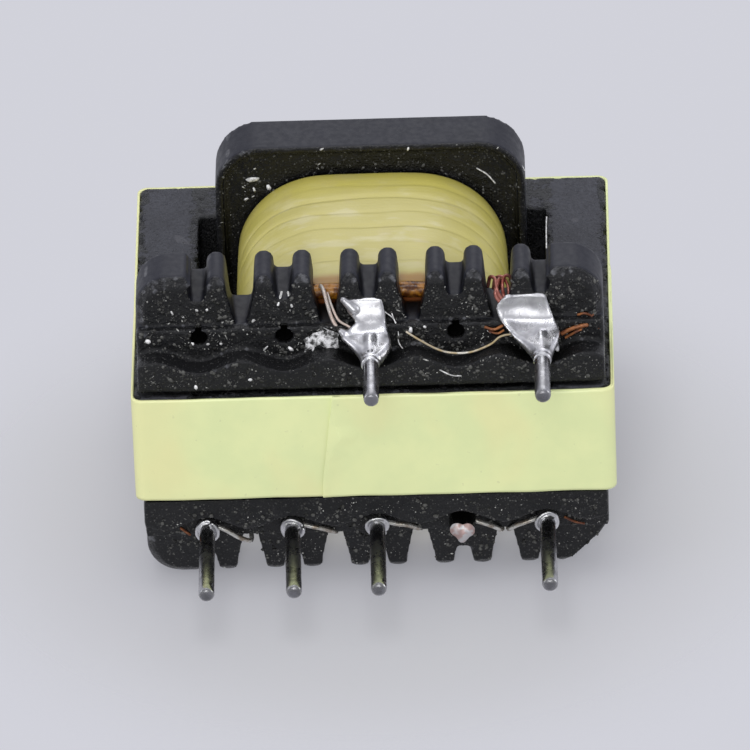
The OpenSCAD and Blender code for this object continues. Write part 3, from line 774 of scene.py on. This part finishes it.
COVER = (0.470, 0.425, 0.155)
COVER_CREAM_AND_SHEEN = (0.530, 0.490, 0.270)
COVER_GOLD = (0.520, 0.465, 0.110)
COVER_PAINTED_SHADE = (0.380, 0.340, 0.120)
COVER_OLIVE = (0.330, 0.285, 0.050)
COVER_SMUDGE = (0.50, 0.42, 0.27)
VARNISH_BROWN = (0.120, 0.045, 0.008)
VARNISH_GOLD = (0.280, 0.130, 0.020)
COPPER = (0.300, 0.095, 0.028)
COPPER_DARK = (0.100, 0.035, 0.012)
COVER_CORNER = 3.7
COVER_STEP = 0.12
COVER_EASING = 30
COVER_LEVELS = 110
COVER_DEPTH = 0.45
CREASES = [
    # height as a share of the cover, slope, depth in millimetres, width, how far round it starts
    (0.20, 0.10, 0.045, 0.20, 0.0), (0.36, -0.06, 0.035, 0.26, 2.1), (0.50, 0.05, 0.050, 0.22, 4.0),
    (0.63, -0.12, 0.060, 0.16, 0.9), (0.76, 0.08, 0.055, 0.20, 5.2), (0.87, -0.04, 0.030, 0.24, 3.1),
]


def crease_depth(spot, share):
    """How far the creases draw the cover in at this place; each fades in and out on its way round."""
    around = math.atan2(spot.y, spot.x)
    depth = 0.0
    for level, slope, deep, width, start in CREASES:
        wander = 0.025 * noise.noise(Vector((spot.x * 0.35, spot.y * 0.35, level * 40)))
        away = (share - level - wander - 0.02 * slope * spot.x) * (winding_high.z - winding_low.z)
        fade = 0.5 + 0.5 * math.sin(2 * around + start)
        sharp = width * (0.35 if away < 0 else 1)
        depth += deep * (0.3 + 0.7 * fade) * math.exp(-(away / sharp) ** 2)
    return depth


def cover_form():
    path = outline(winding_high.x, winding_low.y, winding_high.y, COVER_CORNER, COVER_STEP)
    for _ in range(COVER_EASING):
        path = [((a[0] + 2 * b[0] + c[0]) / 4, (a[1] + 2 * b[1] + c[1]).normalized())
                for a, b, c in zip(path[-1:] + path[:-1], path, path[1:] + path[:1])]
    form = bmesh.new()
    rows = []
    for point, normal in path:
        row = []
        for k in range(COVER_LEVELS + 1):
            share = k / COVER_LEVELS
            z = winding_low.z + (winding_high.z - winding_low.z) * share
            spot = Vector((point.x, point.y, z))
            end = min(share, 1 - share)
            turned_in = 0.07 * max(0.0, 1 - end / 0.012) ** 2 + 0.03 * max(0.0, 1 - end / 0.2) ** 2
            swell = 0.035 * lumps(spot, 2.6) + 0.010 * lumps(spot, 1.1)
            out = 0.02 - turned_in - crease_depth(spot, share) + swell
            row.append(Vector((point.x + normal.x * out, point.y + normal.y * out, z)))
        for z in (winding_high.z, winding_low.z):
            row.append(Vector((point.x - normal.x * COVER_DEPTH, point.y - normal.y * COVER_DEPTH, z)))
        rows.append(row + [row[0]])
    grid(form, rows, True)
    bmesh.ops.remove_doubles(form, verts=form.verts, dist=1e-6)
    bmesh.ops.recalc_face_normals(form, faces=form.faces)
    return form


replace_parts(object_from(cover_form(), "cover_tape_wrap", cover_finish()), "winding_cover")
for finish, nodes in (
        (layer_finish(), ("tape_inner", "tape_middle", "tape_outer")),
        (winding_finish(), ("primary_inner", "secondary", "primary_outer", "auxiliary"))):
    for node in nodes:
        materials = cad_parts[node].data.materials
        materials.clear()
        materials.append(finish)


# ---------------------------------------------------------------------------
# Pins
# Round tinned wire pressed into the rails. The ends are cropped and slightly
# domed, and the pins lean a little from handling. Rear pin 4 is cut off short,
# and stands with the solder below.
# ---------------------------------------------------------------------------
def tin_finish():
    material, t, spot = new_finish("tin")
    drawn = t.cloud(t.place((1.0, 1.0, 5.0)), 0.07, 3.0, 0.6)
    dull = t.ramp(t.cloud(spot, 0.5, 2.0), 0.35, 0.7)
    colour = t.blend(dull, TIN, TIN_DULL)
    rough = t.between(dull, 0.20, 0.34)
    height = t.plus(t.times(drawn, 0.005), t.times(dull, 0.004))
    t.surface(Base_Color=colour, Metallic=1.0, Roughness=rough, Normal=t.relief(height))
    return material


TIN = (0.46, 0.46, 0.48)
TIN_DULL = (0.31, 0.31, 0.32)
PIN_SIDES = 36
PIN_STEPS = 26
PIN_RADIUS = 0.32
# the end of a pin: radius, and height above the tip
PIN_DOME = [(0.16, 0.0), (0.25, 0.03), (0.30, 0.09), (PIN_RADIUS, 0.19)]
LEAN_FROM = 0.9


def turned(profile, sides):
    """A turned solid round Z from (radius, z) points; the first and last lie on the axis."""
    form = bmesh.new()
    rings = []
    for radius, z in profile:
        if radius == 0:
            rings.append([form.verts.new((0, 0, z))])
            continue
        turns = [2 * math.pi * k / sides for k in range(sides)]
        rings.append([form.verts.new((radius * math.cos(a), radius * math.sin(a), z)) for a in turns])
    for low, high in zip(rings, rings[1:]):
        for k in range(sides):
            corners = [low[k % len(low)], low[(k + 1) % len(low)],
                       high[(k + 1) % len(high)], high[k % len(high)]]
            form.faces.new(list(dict.fromkeys(corners)))
    bmesh.ops.recalc_face_normals(form, faces=form.faces)
    return form


def pin_form(low, high, lean_x, lean_y):
    """A pin within this box, leaning by so many millimetres for each millimetre from its root."""
    x, y = (low.x + high.x) / 2, (low.y + high.y) / 2
    profile = [(0, low.z)] + [(radius, low.z + rise) for radius, rise in PIN_DOME]
    shoulder, top = profile[-1][1], high.z - 0.02
    for k in range(1, PIN_STEPS + 1):
        profile.append((PIN_RADIUS, shoulder + (top - shoulder) * k / PIN_STEPS))
    form = turned(profile + [(0, top)], PIN_SIDES)
    for v in form.verts:
        away = max(0.0, LEAN_FROM - v.co.z)
        dent = 0.008 * lumps(v.co + Vector((x, y, 0)), 0.35)
        v.co.x += x + lean_x * away + dent
        v.co.y += y + lean_y * away
    return form


LEANS = {
    "pin_front_3": (0.012, 0.0), "pin_front_5": (0.0, 0.006),
    "pin_rear_1": (0.004, 0.006), "pin_rear_2": (0.022, 0.0), "pin_rear_3": (0.016, -0.004),
    "pin_rear_5": (0.014, -0.006),
}
tin = tin_finish()
for node, lean in LEANS.items():
    low, high = (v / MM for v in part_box(node))
    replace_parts(object_from(pin_form(low, high, *lean), node + "_wire", tin), node)


# ---------------------------------------------------------------------------
# Solder
# Hand-made joints. The two at the front are drawn out like leaves from the
# comb down the pins, the rear ones are low collars over one turn of wire, and
# the cropped pin keeps a flat cut patch.
# ---------------------------------------------------------------------------
def solder_finish():
    material, t, spot = new_finish("solder")
    flow = t.cloud(t.place((0.45, 1.0, 1.6)), 0.28, 4.0, 0.6)
    frost = t.cloud(spot, 0.05, 2.0)
    dull = t.ramp(t.cloud(spot, 0.7, 2.0), 0.45, 0.7)
    colour = t.blend(dull, SOLDER, SOLDER_DULL)
    height = t.plus(t.times(flow, 0.012), t.times(frost, 0.002))
    t.surface(Base_Color=colour, Metallic=1.0, Roughness=t.between(dull, 0.26, 0.36),
              Normal=t.relief(height))
    return material


SOLDER = (0.78, 0.78, 0.80)
SOLDER_DULL = (0.48, 0.48, 0.50)
SOLDER_VOXEL = 0.04
LEAF_SIDES = 48
PIN_REACH = 0.36
COLLAR_STEPS = 26
COLLAR_TURN = 440
COLLAR_WIRE = 0.095


def add_ball(form, centre, radius):
    ball = bmesh.ops.create_icosphere(form, subdivisions=2, radius=radius)
    bmesh.ops.translate(form, vec=centre, verts=ball["verts"])


def add_stroke(form, start, start_r, end, end_r):
    """A run of balls from one point and radius to another."""
    start, end = Vector(start), Vector(end)
    count = max(2, math.ceil((end - start).length / (0.3 * min(start_r, end_r))))
    for k in range(count + 1):
        share = k / count
        add_ball(form, start.lerp(end, share), start_r + (end_r - start_r) * share)


def run_together(strokes, voxel, passes):
    """One melted lump from strokes: each goes from a point and radius to a point and radius."""
    form = bmesh.new()
    for stroke in strokes:
        add_stroke(form, *stroke)
    return soft_edged(form, voxel, passes)


def smooth_route(points, steps):
    """A curve through the points, with this many steps between neighbours."""
    points = [Vector(p) for p in points]
    padded = [2 * points[0] - points[1]] + points + [2 * points[-1] - points[-2]]
    route = []
    for k in range(1, len(padded) - 2):
        a, b, c, d = padded[k - 1:k + 3]
        for j in range(steps):
            t = j / steps
            route.append(0.5 * ((2 * b) + (c - a) * t + (2 * a - 5 * b + 4 * c - d) * t * t
                                + (3 * b - a - 3 * c + d) * t ** 3))
    return route + [points[-1]]


def leaf_form(x, y, spine, sides, dish, spikes):
    """A joint drawn out like a leaf: spine holds (y, z, thickness) and sides the left and right
    edges at the same stations, all measured from the pin; its face is hollowed by dish."""
    stations = smooth_route([(sy, sz, half) for sy, sz, half in spine], 5)
    edges = smooth_route([(left, right, 0) for left, right in sides], 5)
    form = bmesh.new()
    rows = []
    for k, (station, edge) in enumerate(zip(stations, edges)):
        ahead, behind = stations[min(k + 1, len(stations) - 1)], stations[max(k - 1, 0)]
        along = Vector((0, ahead.x - behind.x, ahead.y - behind.y)).normalized()
        face = Vector((1, 0, 0)).cross(along)
        if face.z > 0:
            face = -face
        middle = Vector((x + (edge.x + edge.y) / 2, y + station.x, station.y))
        half = (edge.y - edge.x) / 2
        row = []
        for j in range(LEAF_SIDES):
            a = 2 * math.pi * j / LEAF_SIDES
            rise = math.sin(a)
            hollow = dish * max(0.0, half - PIN_REACH) * max(0.0, rise) ** 1.5
            row.append(middle + Vector((half * math.cos(a), 0, 0)) + face * (station.z * rise - hollow))
        rows.append(row + [row[0]])
    grid(form, rows, False)
    bmesh.ops.remove_doubles(form, verts=form.verts, dist=1e-6)
    bmesh.ops.holes_fill(form, edges=[e for e in form.edges if e.is_boundary], sides=0)
    bmesh.ops.recalc_face_normals(form, faces=form.faces)
    for start, start_r, end, end_r in spikes:
        shift = Vector((x, y, 0))
        add_stroke(form, shift + Vector(start), start_r, shift + Vector(end), end_r)
    form = soft_edged(form, SOLDER_VOXEL, 14)
    push(form, lambda point, normal: 0.03 + 0.02 * lumps(point, 0.8))
    return form


solder = solder_finish()
SPINE = [
    # y, z from the board, half thickness
    (-1.45, 1.56, 0.22), (-1.00, 1.46, 0.30), (-0.60, 1.30, 0.34), (-0.42, 1.05, 0.36), (-0.28, 0.72, 0.40),
    (-0.20, 0.40, 0.42), (-0.10, 0.05, 0.42), (-0.03, -0.35, 0.37), (0.0, -0.72, 0.345), (0.0, -1.12, 0.335)]
LEAVES = {
    "solder_front_3": ([(-0.95, 0.50), (-0.88, 0.60), (-0.58, 0.63), (-0.80, 0.68), (-1.10, 0.75),
                        (-0.95, 0.81), (-0.68, 0.80), (-0.47, 0.66), (-0.36, 0.46), (-0.335, 0.335)],
                       0.60, [((0.0, 0.05, -0.6), 0.33, (0.0, -0.12, 0.55), 0.33),
                              ((-0.60, -1.05, 1.45), 0.20, (-1.02, -1.45, 1.60), 0.12),
                              ((-0.9, -0.25, 0.8), 0.2, (-1.15, -0.38, 0.95), 0.1)]),
    "solder_front_5": ([(-1.40, 0.20), (-1.78, 0.32), (-1.68, 0.46), (-1.50, 0.60), (-1.28, 0.70),
                        (-1.10, 0.69), (-0.82, 0.60), (-0.56, 0.47), (-0.38, 0.37), (-0.335, 0.335)],
                       0.60, [((0.0, 0.05, -0.6), 0.33, (-0.05, -0.10, 0.55), 0.33),
                              ((0.45, -0.1, 0.2), 0.2, (0.62, 0.25, 0.1), 0.07)]),
}
for node, (sides, dish, spikes) in LEAVES.items():
    low, high = (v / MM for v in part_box(node.replace("solder", "pin")))
    form = leaf_form((low.x + high.x) / 2, (low.y + high.y) / 2, SPINE, sides, dish, spikes)
    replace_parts(object_from(form, node + "_leaf", solder), node)


def collar_form(x, y, z, seed):
    """A little over one turn of wire round the root of a pin, under a skin of solder."""
    strokes = []
    for k in range(COLLAR_STEPS):
        a, b = (math.radians(-60 + 30 * seed + COLLAR_TURN * j / COLLAR_STEPS) for j in (k, k + 1))
        ends = []
        for turn in (a, b):
            ring = 0.425 + 0.02 * math.sin(seed + 3 * turn)
            climb = -0.10 - 0.05 * math.sin(turn + seed) + 0.02 * turn
            ends.append((x + ring * math.cos(turn), y + ring * math.sin(turn), z + climb))
        strokes.append((ends[0], COLLAR_WIRE, ends[1], COLLAR_WIRE))
    strokes.append(((x, y, z + 0.22), 0.46, (x, y, z + 0.10), 0.40))
    return run_together(strokes, SOLDER_VOXEL, 2)


for seed, node in enumerate(("solder_rear_1", "solder_rear_2", "solder_rear_3", "solder_rear_5")):
    low, high = (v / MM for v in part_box(node))
    middle = (low + high) / 2
    form = collar_form(middle.x, middle.y, middle.z, 1.7 * seed)
    push(form, lambda point, normal: 0.012 * lumps(point, 0.25))
    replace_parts(object_from(form, node + "_collar", solder), node)


def cut_finish():
    material = bpy.data.materials.new("cut_metal")
    t = new_tree(material)
    patch = t.ramp(t.cloud(t.place(), 0.35, 2.0), 0.42, 0.6)
    marks = t.cloud(t.place((1.0, 0.2, 1.0)), 0.05, 2.0)
    t.surface(Base_Color=t.blend(patch, CUT_PINK, CUT_SILVER), Metallic=0.75, Roughness=0.42,
              Normal=t.relief(t.times(marks, 0.012)))
    return material


CUT_PINK = (0.56, 0.40, 0.38)
CUT_SILVER = (0.70, 0.68, 0.70)
stub_low, stub_high = (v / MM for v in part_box("pin_rear_4"))
stub_x, stub_y = (stub_low.x + stub_high.x) / 2, (stub_low.y + stub_high.y) / 2
form = run_together([
    ((stub_x, stub_y, 1.6), 0.40, (stub_x, stub_y, 0.2), 0.34),
    ((stub_x - 0.21, stub_y - 0.14, 1.3), 0.34, (stub_x - 0.21, stub_y - 0.14, 0.2), 0.30),
    ((stub_x + 0.21, stub_y - 0.12, 1.3), 0.34, (stub_x + 0.21, stub_y - 0.12, 0.2), 0.30),
    ((stub_x - 0.02, stub_y + 0.20, 1.3), 0.26, (stub_x - 0.02, stub_y + 0.27, 0.2), 0.17),
], SOLDER_VOXEL, 2)
cut_at, cut_facing = Vector((stub_x, stub_y, 0.36)), Vector((0.04, 0.14, 1)).normalized()
push(form, lambda point, normal: 0.05 * lumps(point, 0.3) * (point.z > 0.55))
keep_beyond(form, cut_at, cut_facing)
stub = object_from(form, "pin_rear_4_stub", moulding)
stub.data.materials.append(cut_finish())
for face in stub.data.polygons:
    face.material_index = abs((face.center / MM - cut_at).dot(cut_facing)) < 0.01
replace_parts(stub, "pin_rear_4")


# ---------------------------------------------------------------------------
# Leads
# Enamelled magnet wire brought from the windings down through the gaps of the
# comb. Varnish covers it, so it shines. The two front leads are untwisted into
# loose strands that curl into the solder, the rear ones are single wires.
# ---------------------------------------------------------------------------
def enamel_finish(name, colour, dark, metal):
    material, t, spot = new_finish(name)
    coat = t.ramp(t.cloud(spot, 0.45, 3.0), 0.38, 0.66)
    film = t.effect(FILM, Lump=0.22, Height=0.03)
    t.surface(Base_Color=t.blend(coat, colour, dark), Metallic=metal,
              Roughness=t.between(coat, 0.16, 0.30), Normal=t.relief(film["Height"]))
    return material


def add_wire(form, route, radius, sides=10):
    """Adds a round wire along the route, domed at both ends, to the form."""
    side = (route[1] - route[0]).orthogonal().normalized()
    rings = []
    for k, point in enumerate(route):
        along = (route[min(k + 1, len(route) - 1)] - route[max(k - 1, 0)]).normalized()
        side = (side - along * side.dot(along)).normalized()
        other = along.cross(side)
        swell = radius * (1 + 0.06 * lumps(point, 0.3))
        rings.append([form.verts.new(point + swell * (side * math.cos(a) + other * math.sin(a)))
                      for a in (2 * math.pi * j / sides for j in range(sides))])
    for ring, following in zip(rings, rings[1:]):
        for j in range(sides):
            form.faces.new((ring[j], ring[(j + 1) % sides],
                            following[(j + 1) % sides], following[j]))
    for ring, point, out in ((rings[0], route[0], route[0] - route[1]),
                             (rings[-1], route[-1], route[-1] - route[-2])):
        tip = form.verts.new(point + out.normalized() * radius * 0.6)
        for j in range(sides):
            form.faces.new((ring[j], ring[(j + 1) % sides], tip))


def wire_piece(name, strands, finish, *nodes):
    form = bmesh.new()
    for points, radius in strands:
        add_wire(form, smooth_route(points, 8), radius)
    bmesh.ops.recalc_face_normals(form, faces=form.faces)
    piece = object_from(form, name, finish)
    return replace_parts(piece, *nodes) if nodes else piece


enamel = enamel_finish("enamel", (0.40, 0.16, 0.13), (0.22, 0.05, 0.035), 0.5)
frosted = enamel_finish("frosted_enamel", (0.62, 0.50, 0.44), (0.50, 0.47, 0.44), 0.35)
silvered = enamel_finish("silvered_wire", (0.66, 0.65, 0.62), (0.30, 0.25, 0.20), 0.8)

# front lead 3 comes out between teeth, runs down the land and into the solder
wire_piece("lead_front_3_wire", [([
    (-1.98, -5.6, 3.1), (-1.92, -6.0, 2.6), (-1.80, -6.05, 2.1), (-1.66, -5.6, 1.75),
    (-1.46, -5.0, 1.52), (-1.15, -4.65, 1.25), (-0.85, -4.45, 1.0), (-0.5, -4.3, 0.8)], 0.075),
    ([(-1.72, -5.3, 3.1), (-1.66, -5.75, 2.4), (-1.52, -5.6, 1.8), (-1.25, -5.1, 1.45),
      (-0.85, -4.9, 1.25), (-0.4, -4.7, 1.0)], 0.05)],
    frosted, "lead_front_3")
wire_piece("lead_front_5_twist", [
    ([(4.75, -5.5, 3.0), (4.85, -6.1, 2.75), (5.05, -6.15, 2.5), (5.12, -5.95, 2.0), (5.30, -5.7, 1.75),
      (5.55, -5.5, 1.60)], 0.075),
    ([(5.75, -5.5, 3.0), (5.62, -6.1, 2.8), (5.40, -6.2, 2.55), (5.34, -6.0, 2.1), (5.42, -5.7, 1.8),
      (5.70, -5.45, 1.60)], 0.07),
    ([(5.2, -5.4, 3.0), (5.22, -6.05, 2.65), (5.16, -6.1, 2.35), (5.05, -5.85, 1.9), (5.2, -5.6, 1.7),
      (5.45, -5.42, 1.60)], 0.08),
    ([(4.95, -5.4, 3.0), (5.05, -5.95, 2.9), (5.35, -6.1, 2.75), (5.55, -5.95, 2.3), (5.60, -5.6, 1.8),
      (5.72, -5.45, 1.60)], 0.06)], enamel, "lead_front_5")
wire_piece("strand_front_wire", [([
    (1.45, -4.70, 1.05), (1.97, -4.36, 0.95), (2.64, -3.95, 0.90), (3.23, -3.77, 0.86),
    (4.0, -3.78, 0.86), (4.78, -4.05, 0.95), (5.2, -4.35, 1.05), (5.7, -4.5, 1.0)], 0.045)],
    enamel_finish("pale_strand", (0.50, 0.38, 0.20), (0.62, 0.60, 0.55), 0.4), "strand_front")

PITCH = 3.43
REAR_LEADS = [
    # node, places from the middle pin, side it leaves to, shift in the gap, slack
    ("lead_rear_1", -2, 1, 0.0, 0.32), ("lead_rear_2", -1, 1, 0.0, 0.02), ("lead_rear_3", 0, 1, 0.0, -0.04),
    ("lead_rear_4", 1, 1, -0.15, 0.12), ("lead_rear_5", 2, -1, 0.15, 0.10),
]
for node, place, toward, shift, drop in REAR_LEADS:
    x = place * PITCH
    gap = x + toward * 1.72 + shift
    points = [(x + toward * 0.38, 4.35, 1.12), (x + toward * 0.8, 4.42 + 0.3 * drop, 1.02),
              (x + toward * 1.25, 4.55 + drop, 1.06), (gap, 4.9 + drop, 1.35), (gap, 5.25, 2.2),
              (gap, 5.2, 3.05)]
    wire_piece(node + "_wire", [(points, 0.10)], silvered, node)


# ---------------------------------------------------------------------------
# Dried varnish, dust and wire ends
# The transformer was dipped and drained. Drops and crumbs of varnish with dust
# in them stayed on the moulding, a loose flake beside pin 3, amber pools under
# the windings, and snipped ends of wire where the leads were soldered. Pale
# beads, runs and a thread are painted glints, the pale slivers partly dust and
# partly painted glints, and the dark amber of the pools partly painted shade.
# ---------------------------------------------------------------------------
def plain_finish(name, dark, pale, size, rough, metal=0.0):
    """A mottled finish between two colours, with lumps of this size."""
    material = bpy.data.materials.new(name)
    t = new_tree(material)
    share = t.ramp(t.cloud(t.place(), size, 3.0, 0.6), 0.38, 0.62)
    film = t.effect(FILM, Lump=2 * size, Height=0.03)
    t.surface(Base_Color=t.blend(share, dark, pale), Metallic=metal,
              Roughness=t.between(share, rough, rough + 0.14), Normal=t.relief(film["Height"]))
    return material


def add_crumb(form, spot, normal, size, flatness, length, seed):
    """An irregular lump on a surface; length draws it out into a sliver."""
    lump = bmesh.ops.create_icosphere(form, subdivisions=1, radius=size)["verts"]
    turn = normal.to_track_quat("Z", "Y").to_matrix() @ Matrix.Rotation(seed.uniform(0, 6.3), 3, "Z")
    for v in lump:
        wild = 1 + 0.35 * (seed.random() - 0.5)
        x, y, z = v.co
        v.co = spot + turn @ Vector((x * wild * length, y * wild / length ** 0.3, z * flatness))


def scattered(name, finish, tree, low, high, start_z, count, size, length, clump, seed_number):
    """Crumbs on the board side within a rectangle; clump is the noise level above which they gather."""
    seed = random.Random(seed_number)
    form = bmesh.new()
    made = tries = 0
    while made < count and tries < 60 * count:
        tries += 1
        x, y = seed.uniform(low[0], high[0]), seed.uniform(low[1], high[1])
        if lumps(Vector((x, y, seed_number)), 0.9) < clump:
            continue
        spot, normal, _, _ = tree.ray_cast(Vector((x, y, start_z)), Vector((0, 0, 1)))
        if spot is None or normal.z > -0.2:
            continue
        grown = size * (0.35 + 1.1 * seed.random() ** 3)
        add_crumb(form, spot, normal, grown, 0.45, length * seed.uniform(0.7, 1.4), seed)
        made += 1
    bmesh.ops.recalc_face_normals(form, faces=form.faces)
    return object_from(form, name, finish)


def surface_of(*pieces):
    form = bmesh.new()
    for piece in pieces:
        form.from_mesh(piece.data)
    bmesh.ops.scale(form, vec=(1 / MM,) * 3, verts=form.verts)
    tree = BVHTree.FromBMesh(form)
    form.free()
    return tree


clear = plain_finish("clear_varnish", (0.008, 0.008, 0.007), (0.090, 0.090, 0.085), 0.4, 0.08)
# pale finish for dust crumbs, and for slivers that are partly painted glints
dust_and_glints = plain_finish("dusty_varnish_and_glints", (0.16, 0.16, 0.15), (0.50, 0.50, 0.48), 0.3, 0.18)
front_face, rear_face, flange_face = (surface_of(p) for p in (bobbin_front, bobbin_rear, bobbin_flange))
FRONT, REAR = ((-9.2, -6.6), (9.2, -2.8)), ((-9.0, 2.8), (9.0, 6.8))
FLANGE = ((-6.2, -7.0), (6.2, 7.0))
BELOW_FLANGE = 8.6
scattered("crumbs_front_clear", clear, front_face, *FRONT, -1, 1300, 0.075, 1.0, -0.1, 11)
scattered("crumbs_front_dusty", dust_and_glints, front_face, *FRONT, -1, 500, 0.026, 1.0, 0.0, 12)
# pale slivers on the front rail: partly dust, partly painted glints
scattered("glint_slivers_front", dust_and_glints, front_face, (-9.2, -5.9), (9.2, -3.7), -1, 110, 0.034, 2.6, 0.1, 21)
scattered("crumbs_rear_clear", clear, rear_face, *REAR, -1, 1000, 0.075, 1.0, -0.1, 13)
scattered("crumbs_rear_dusty", dust_and_glints, rear_face, *REAR, -1, 380, 0.028, 1.2, 0.0, 14)
scattered("crumbs_flange_clear", clear, flange_face, *FLANGE, BELOW_FLANGE, 900, 0.060, 1.2, -0.1, 15)
# pale slivers on the flange: partly dust, partly painted glints
scattered("glint_slivers_flange", dust_and_glints, flange_face, *FLANGE, BELOW_FLANGE, 190, 0.032, 1.8, 0.0, 16)

# painted glints: larger pale beads, each dropped on the moulding where varnish stood: x, y, size, length
RAIL_GLINT_BEADS = [
    (-7.11, -4.23, 0.075, 1.3), (-6.49, -4.21, 0.07, 1.3), (-3.20, -3.91, 0.10, 1.6), (-8.88, -4.43, 0.12, 1.2),
    (-6.89, -5.60, 0.07, 1.2), (-6.49, -5.60, 0.07, 1.0), (-5.31, -5.04, 0.07, 1.3), (-4.66, -5.03, 0.07, 1.6),
    (-7.89, -5.50, 0.06, 2.0), (-7.45, -5.30, 0.05, 1.2), (-4.84, -3.12, 0.08, 1.3), (-7.02, -2.84, 0.09, 1.5),
    (-4.20, -3.95, 0.06, 3.0), (-5.97, -4.21, 0.07, 1.0), (1.62, -4.62, 0.11, 1.7), (2.20, -4.75, 0.07, 1.2),
]
FLANGE_GLINT_BEADS = [
    (-4.79, -5.44, 0.16, 2.2), (-4.12, -5.04, 0.12, 1.6), (-4.72, -4.95, 0.07, 2.0), (-5.06, -4.50, 0.08, 1.5),
    (1.6, -6.85, 0.06, 2.4), (-1.9, -6.95, 0.06, 1.8),
]
seed = random.Random(31)
form = bmesh.new()
for beads, tree, start_z, flatness in (
        (RAIL_GLINT_BEADS, front_face, -1, 0.6), (FLANGE_GLINT_BEADS, flange_face, BELOW_FLANGE, 0.4)):
    for x, y, size, length in beads:
        spot, normal, _, _ = tree.ray_cast(Vector((x, y, start_z)), Vector((0, 0, 1)))
        if spot:
            add_crumb(form, spot, normal, size, flatness, length, seed)
bmesh.ops.recalc_face_normals(form, faces=form.faces)
# a pale finish whose colour is painted glints
glint_finish = plain_finish("painted_glint_varnish", (0.42, 0.42, 0.42), (0.85, 0.85, 0.86), 0.2, 0.12)
object_from(form, "painted_glint_beads", glint_finish)

# thin pale runs of varnish on edges and in the notches: painted highlights
wire_piece("painted_glint_runs", [
    ([(-3.47, -6.18, 1.95), (-3.56, -5.95, 1.78), (-3.64, -5.74, 1.62)], 0.05),
    ([(-3.23, -6.17, 1.95), (-3.16, -5.90, 1.78), (-3.08, -5.65, 1.62)], 0.05),
    ([(4.35, -5.69, 11.84), (4.76, -5.38, 11.84), (5.08, -4.95, 11.84)], 0.03),
    ([(5.98, -5.98, 11.84), (6.16, -5.78, 11.84), (6.29, -5.51, 11.84)], 0.025),
    ([(0.89, -5.23, 1.62), (1.12, -4.60, 1.30), (1.14, -4.06, 1.25), (1.44, -3.75, 0.95)], 0.022),
    ([(0.62, -5.30, 1.62), (0.90, -5.05, 1.60), (1.10, -4.80, 1.40)], 0.022),
    ([(2.75, -3.35, 0.26), (3.20, -3.10, 0.25), (3.60, -3.05, 0.25)], 0.025)], glint_finish)

# crumpled flake of varnish beside pin 3
seed = random.Random(5)
form = bmesh.new()
rows = []
for i in range(8):
    row = []
    for j in range(7):
        x = -2.62 + 1.35 * i / 7 + 0.10 * seed.uniform(-1, 1)
        y = -4.70 + 0.95 * j / 6 + 0.10 * seed.uniform(-1, 1) + 0.12 * math.sin(1.1 * i)
        row.append(Vector((x, y, 1.05 + 0.30 * seed.random())))
    rows.append(row)
grid(form, rows, False)
form = reshaped(form, [("SOLIDIFY", {"thickness": 0.05}), ("DECIMATE", {"ratio": 0.55})])
flake = plain_finish("varnish_flake", (0.05, 0.05, 0.05), (0.85, 0.85, 0.87), 0.3, 0.10)
object_from(form, "varnish_flake", flake, True)

# amber varnish that stands under the foot of the windings in the two middle gaps; its dark amber is partly
# painted shade under the windings
form = bmesh.new()
for x in (-1.715, 1.715):
    add_stroke(form, (x - 0.75, winding_low.y + 0.30, winding_low.z - 0.12), 0.34,
               (x + 0.75, winding_low.y + 0.30, winding_low.z - 0.12), 0.34)
form = soft_edged(form, 0.06, 4)
push(form, lambda point, normal: 0.04 * lumps(point, 0.5))
amber_and_shade = plain_finish("amber_varnish_and_shade", (0.060, 0.016, 0.003), (0.360, 0.150, 0.012), 0.45, 0.10)
object_from(form, "amber_pool", amber_and_shade)

# snipped wire ends and flux beside the pins
wire_piece("wire_ends", [
    ([(8.30, -4.95, 1.58), (8.62, -5.02, 1.56), (8.95, -4.80, 1.55), (9.15, -4.45, 1.30)], 0.05),
    ([(7.64, -4.30, 1.22), (8.00, -4.50, 1.22), (8.40, -4.62, 1.24), (8.70, -4.66, 1.26)], 0.085),
    ([(7.80, -4.10, 1.24), (8.15, -4.35, 1.20), (8.45, -4.50, 1.22)], 0.06),
    ([(8.45, -4.85, 1.50), (8.70, -4.75, 1.45), (8.95, -4.95, 1.60)], 0.04),
    ([(4.60, -4.70, 1.24), (4.95, -4.60, 1.20), (5.30, -4.75, 1.24)], 0.06),
    ([(4.75, -4.50, 1.24), (5.10, -4.42, 1.20), (5.35, -4.55, 1.22)], 0.05),
    ([(7.55, 4.40, 1.20), (7.95, 4.62, 1.18), (8.35, 4.72, 1.16)], 0.05),
    ([(-7.94, 4.45, 1.20), (-7.56, 4.78, 1.18)], 0.055)],
    enamel_finish("burnt_enamel", (0.36, 0.14, 0.05), (0.10, 0.03, 0.015), 0.35))
# a pale thread down the window's edge: a painted highlight
wire_piece("window_edge_glint", [
    ([(7.12, -2.44, 13.2), (7.10, -2.44, 12.6), (7.09, -2.44, 11.2), (7.10, -2.44, 9.7)], 0.03)], glint_finish)
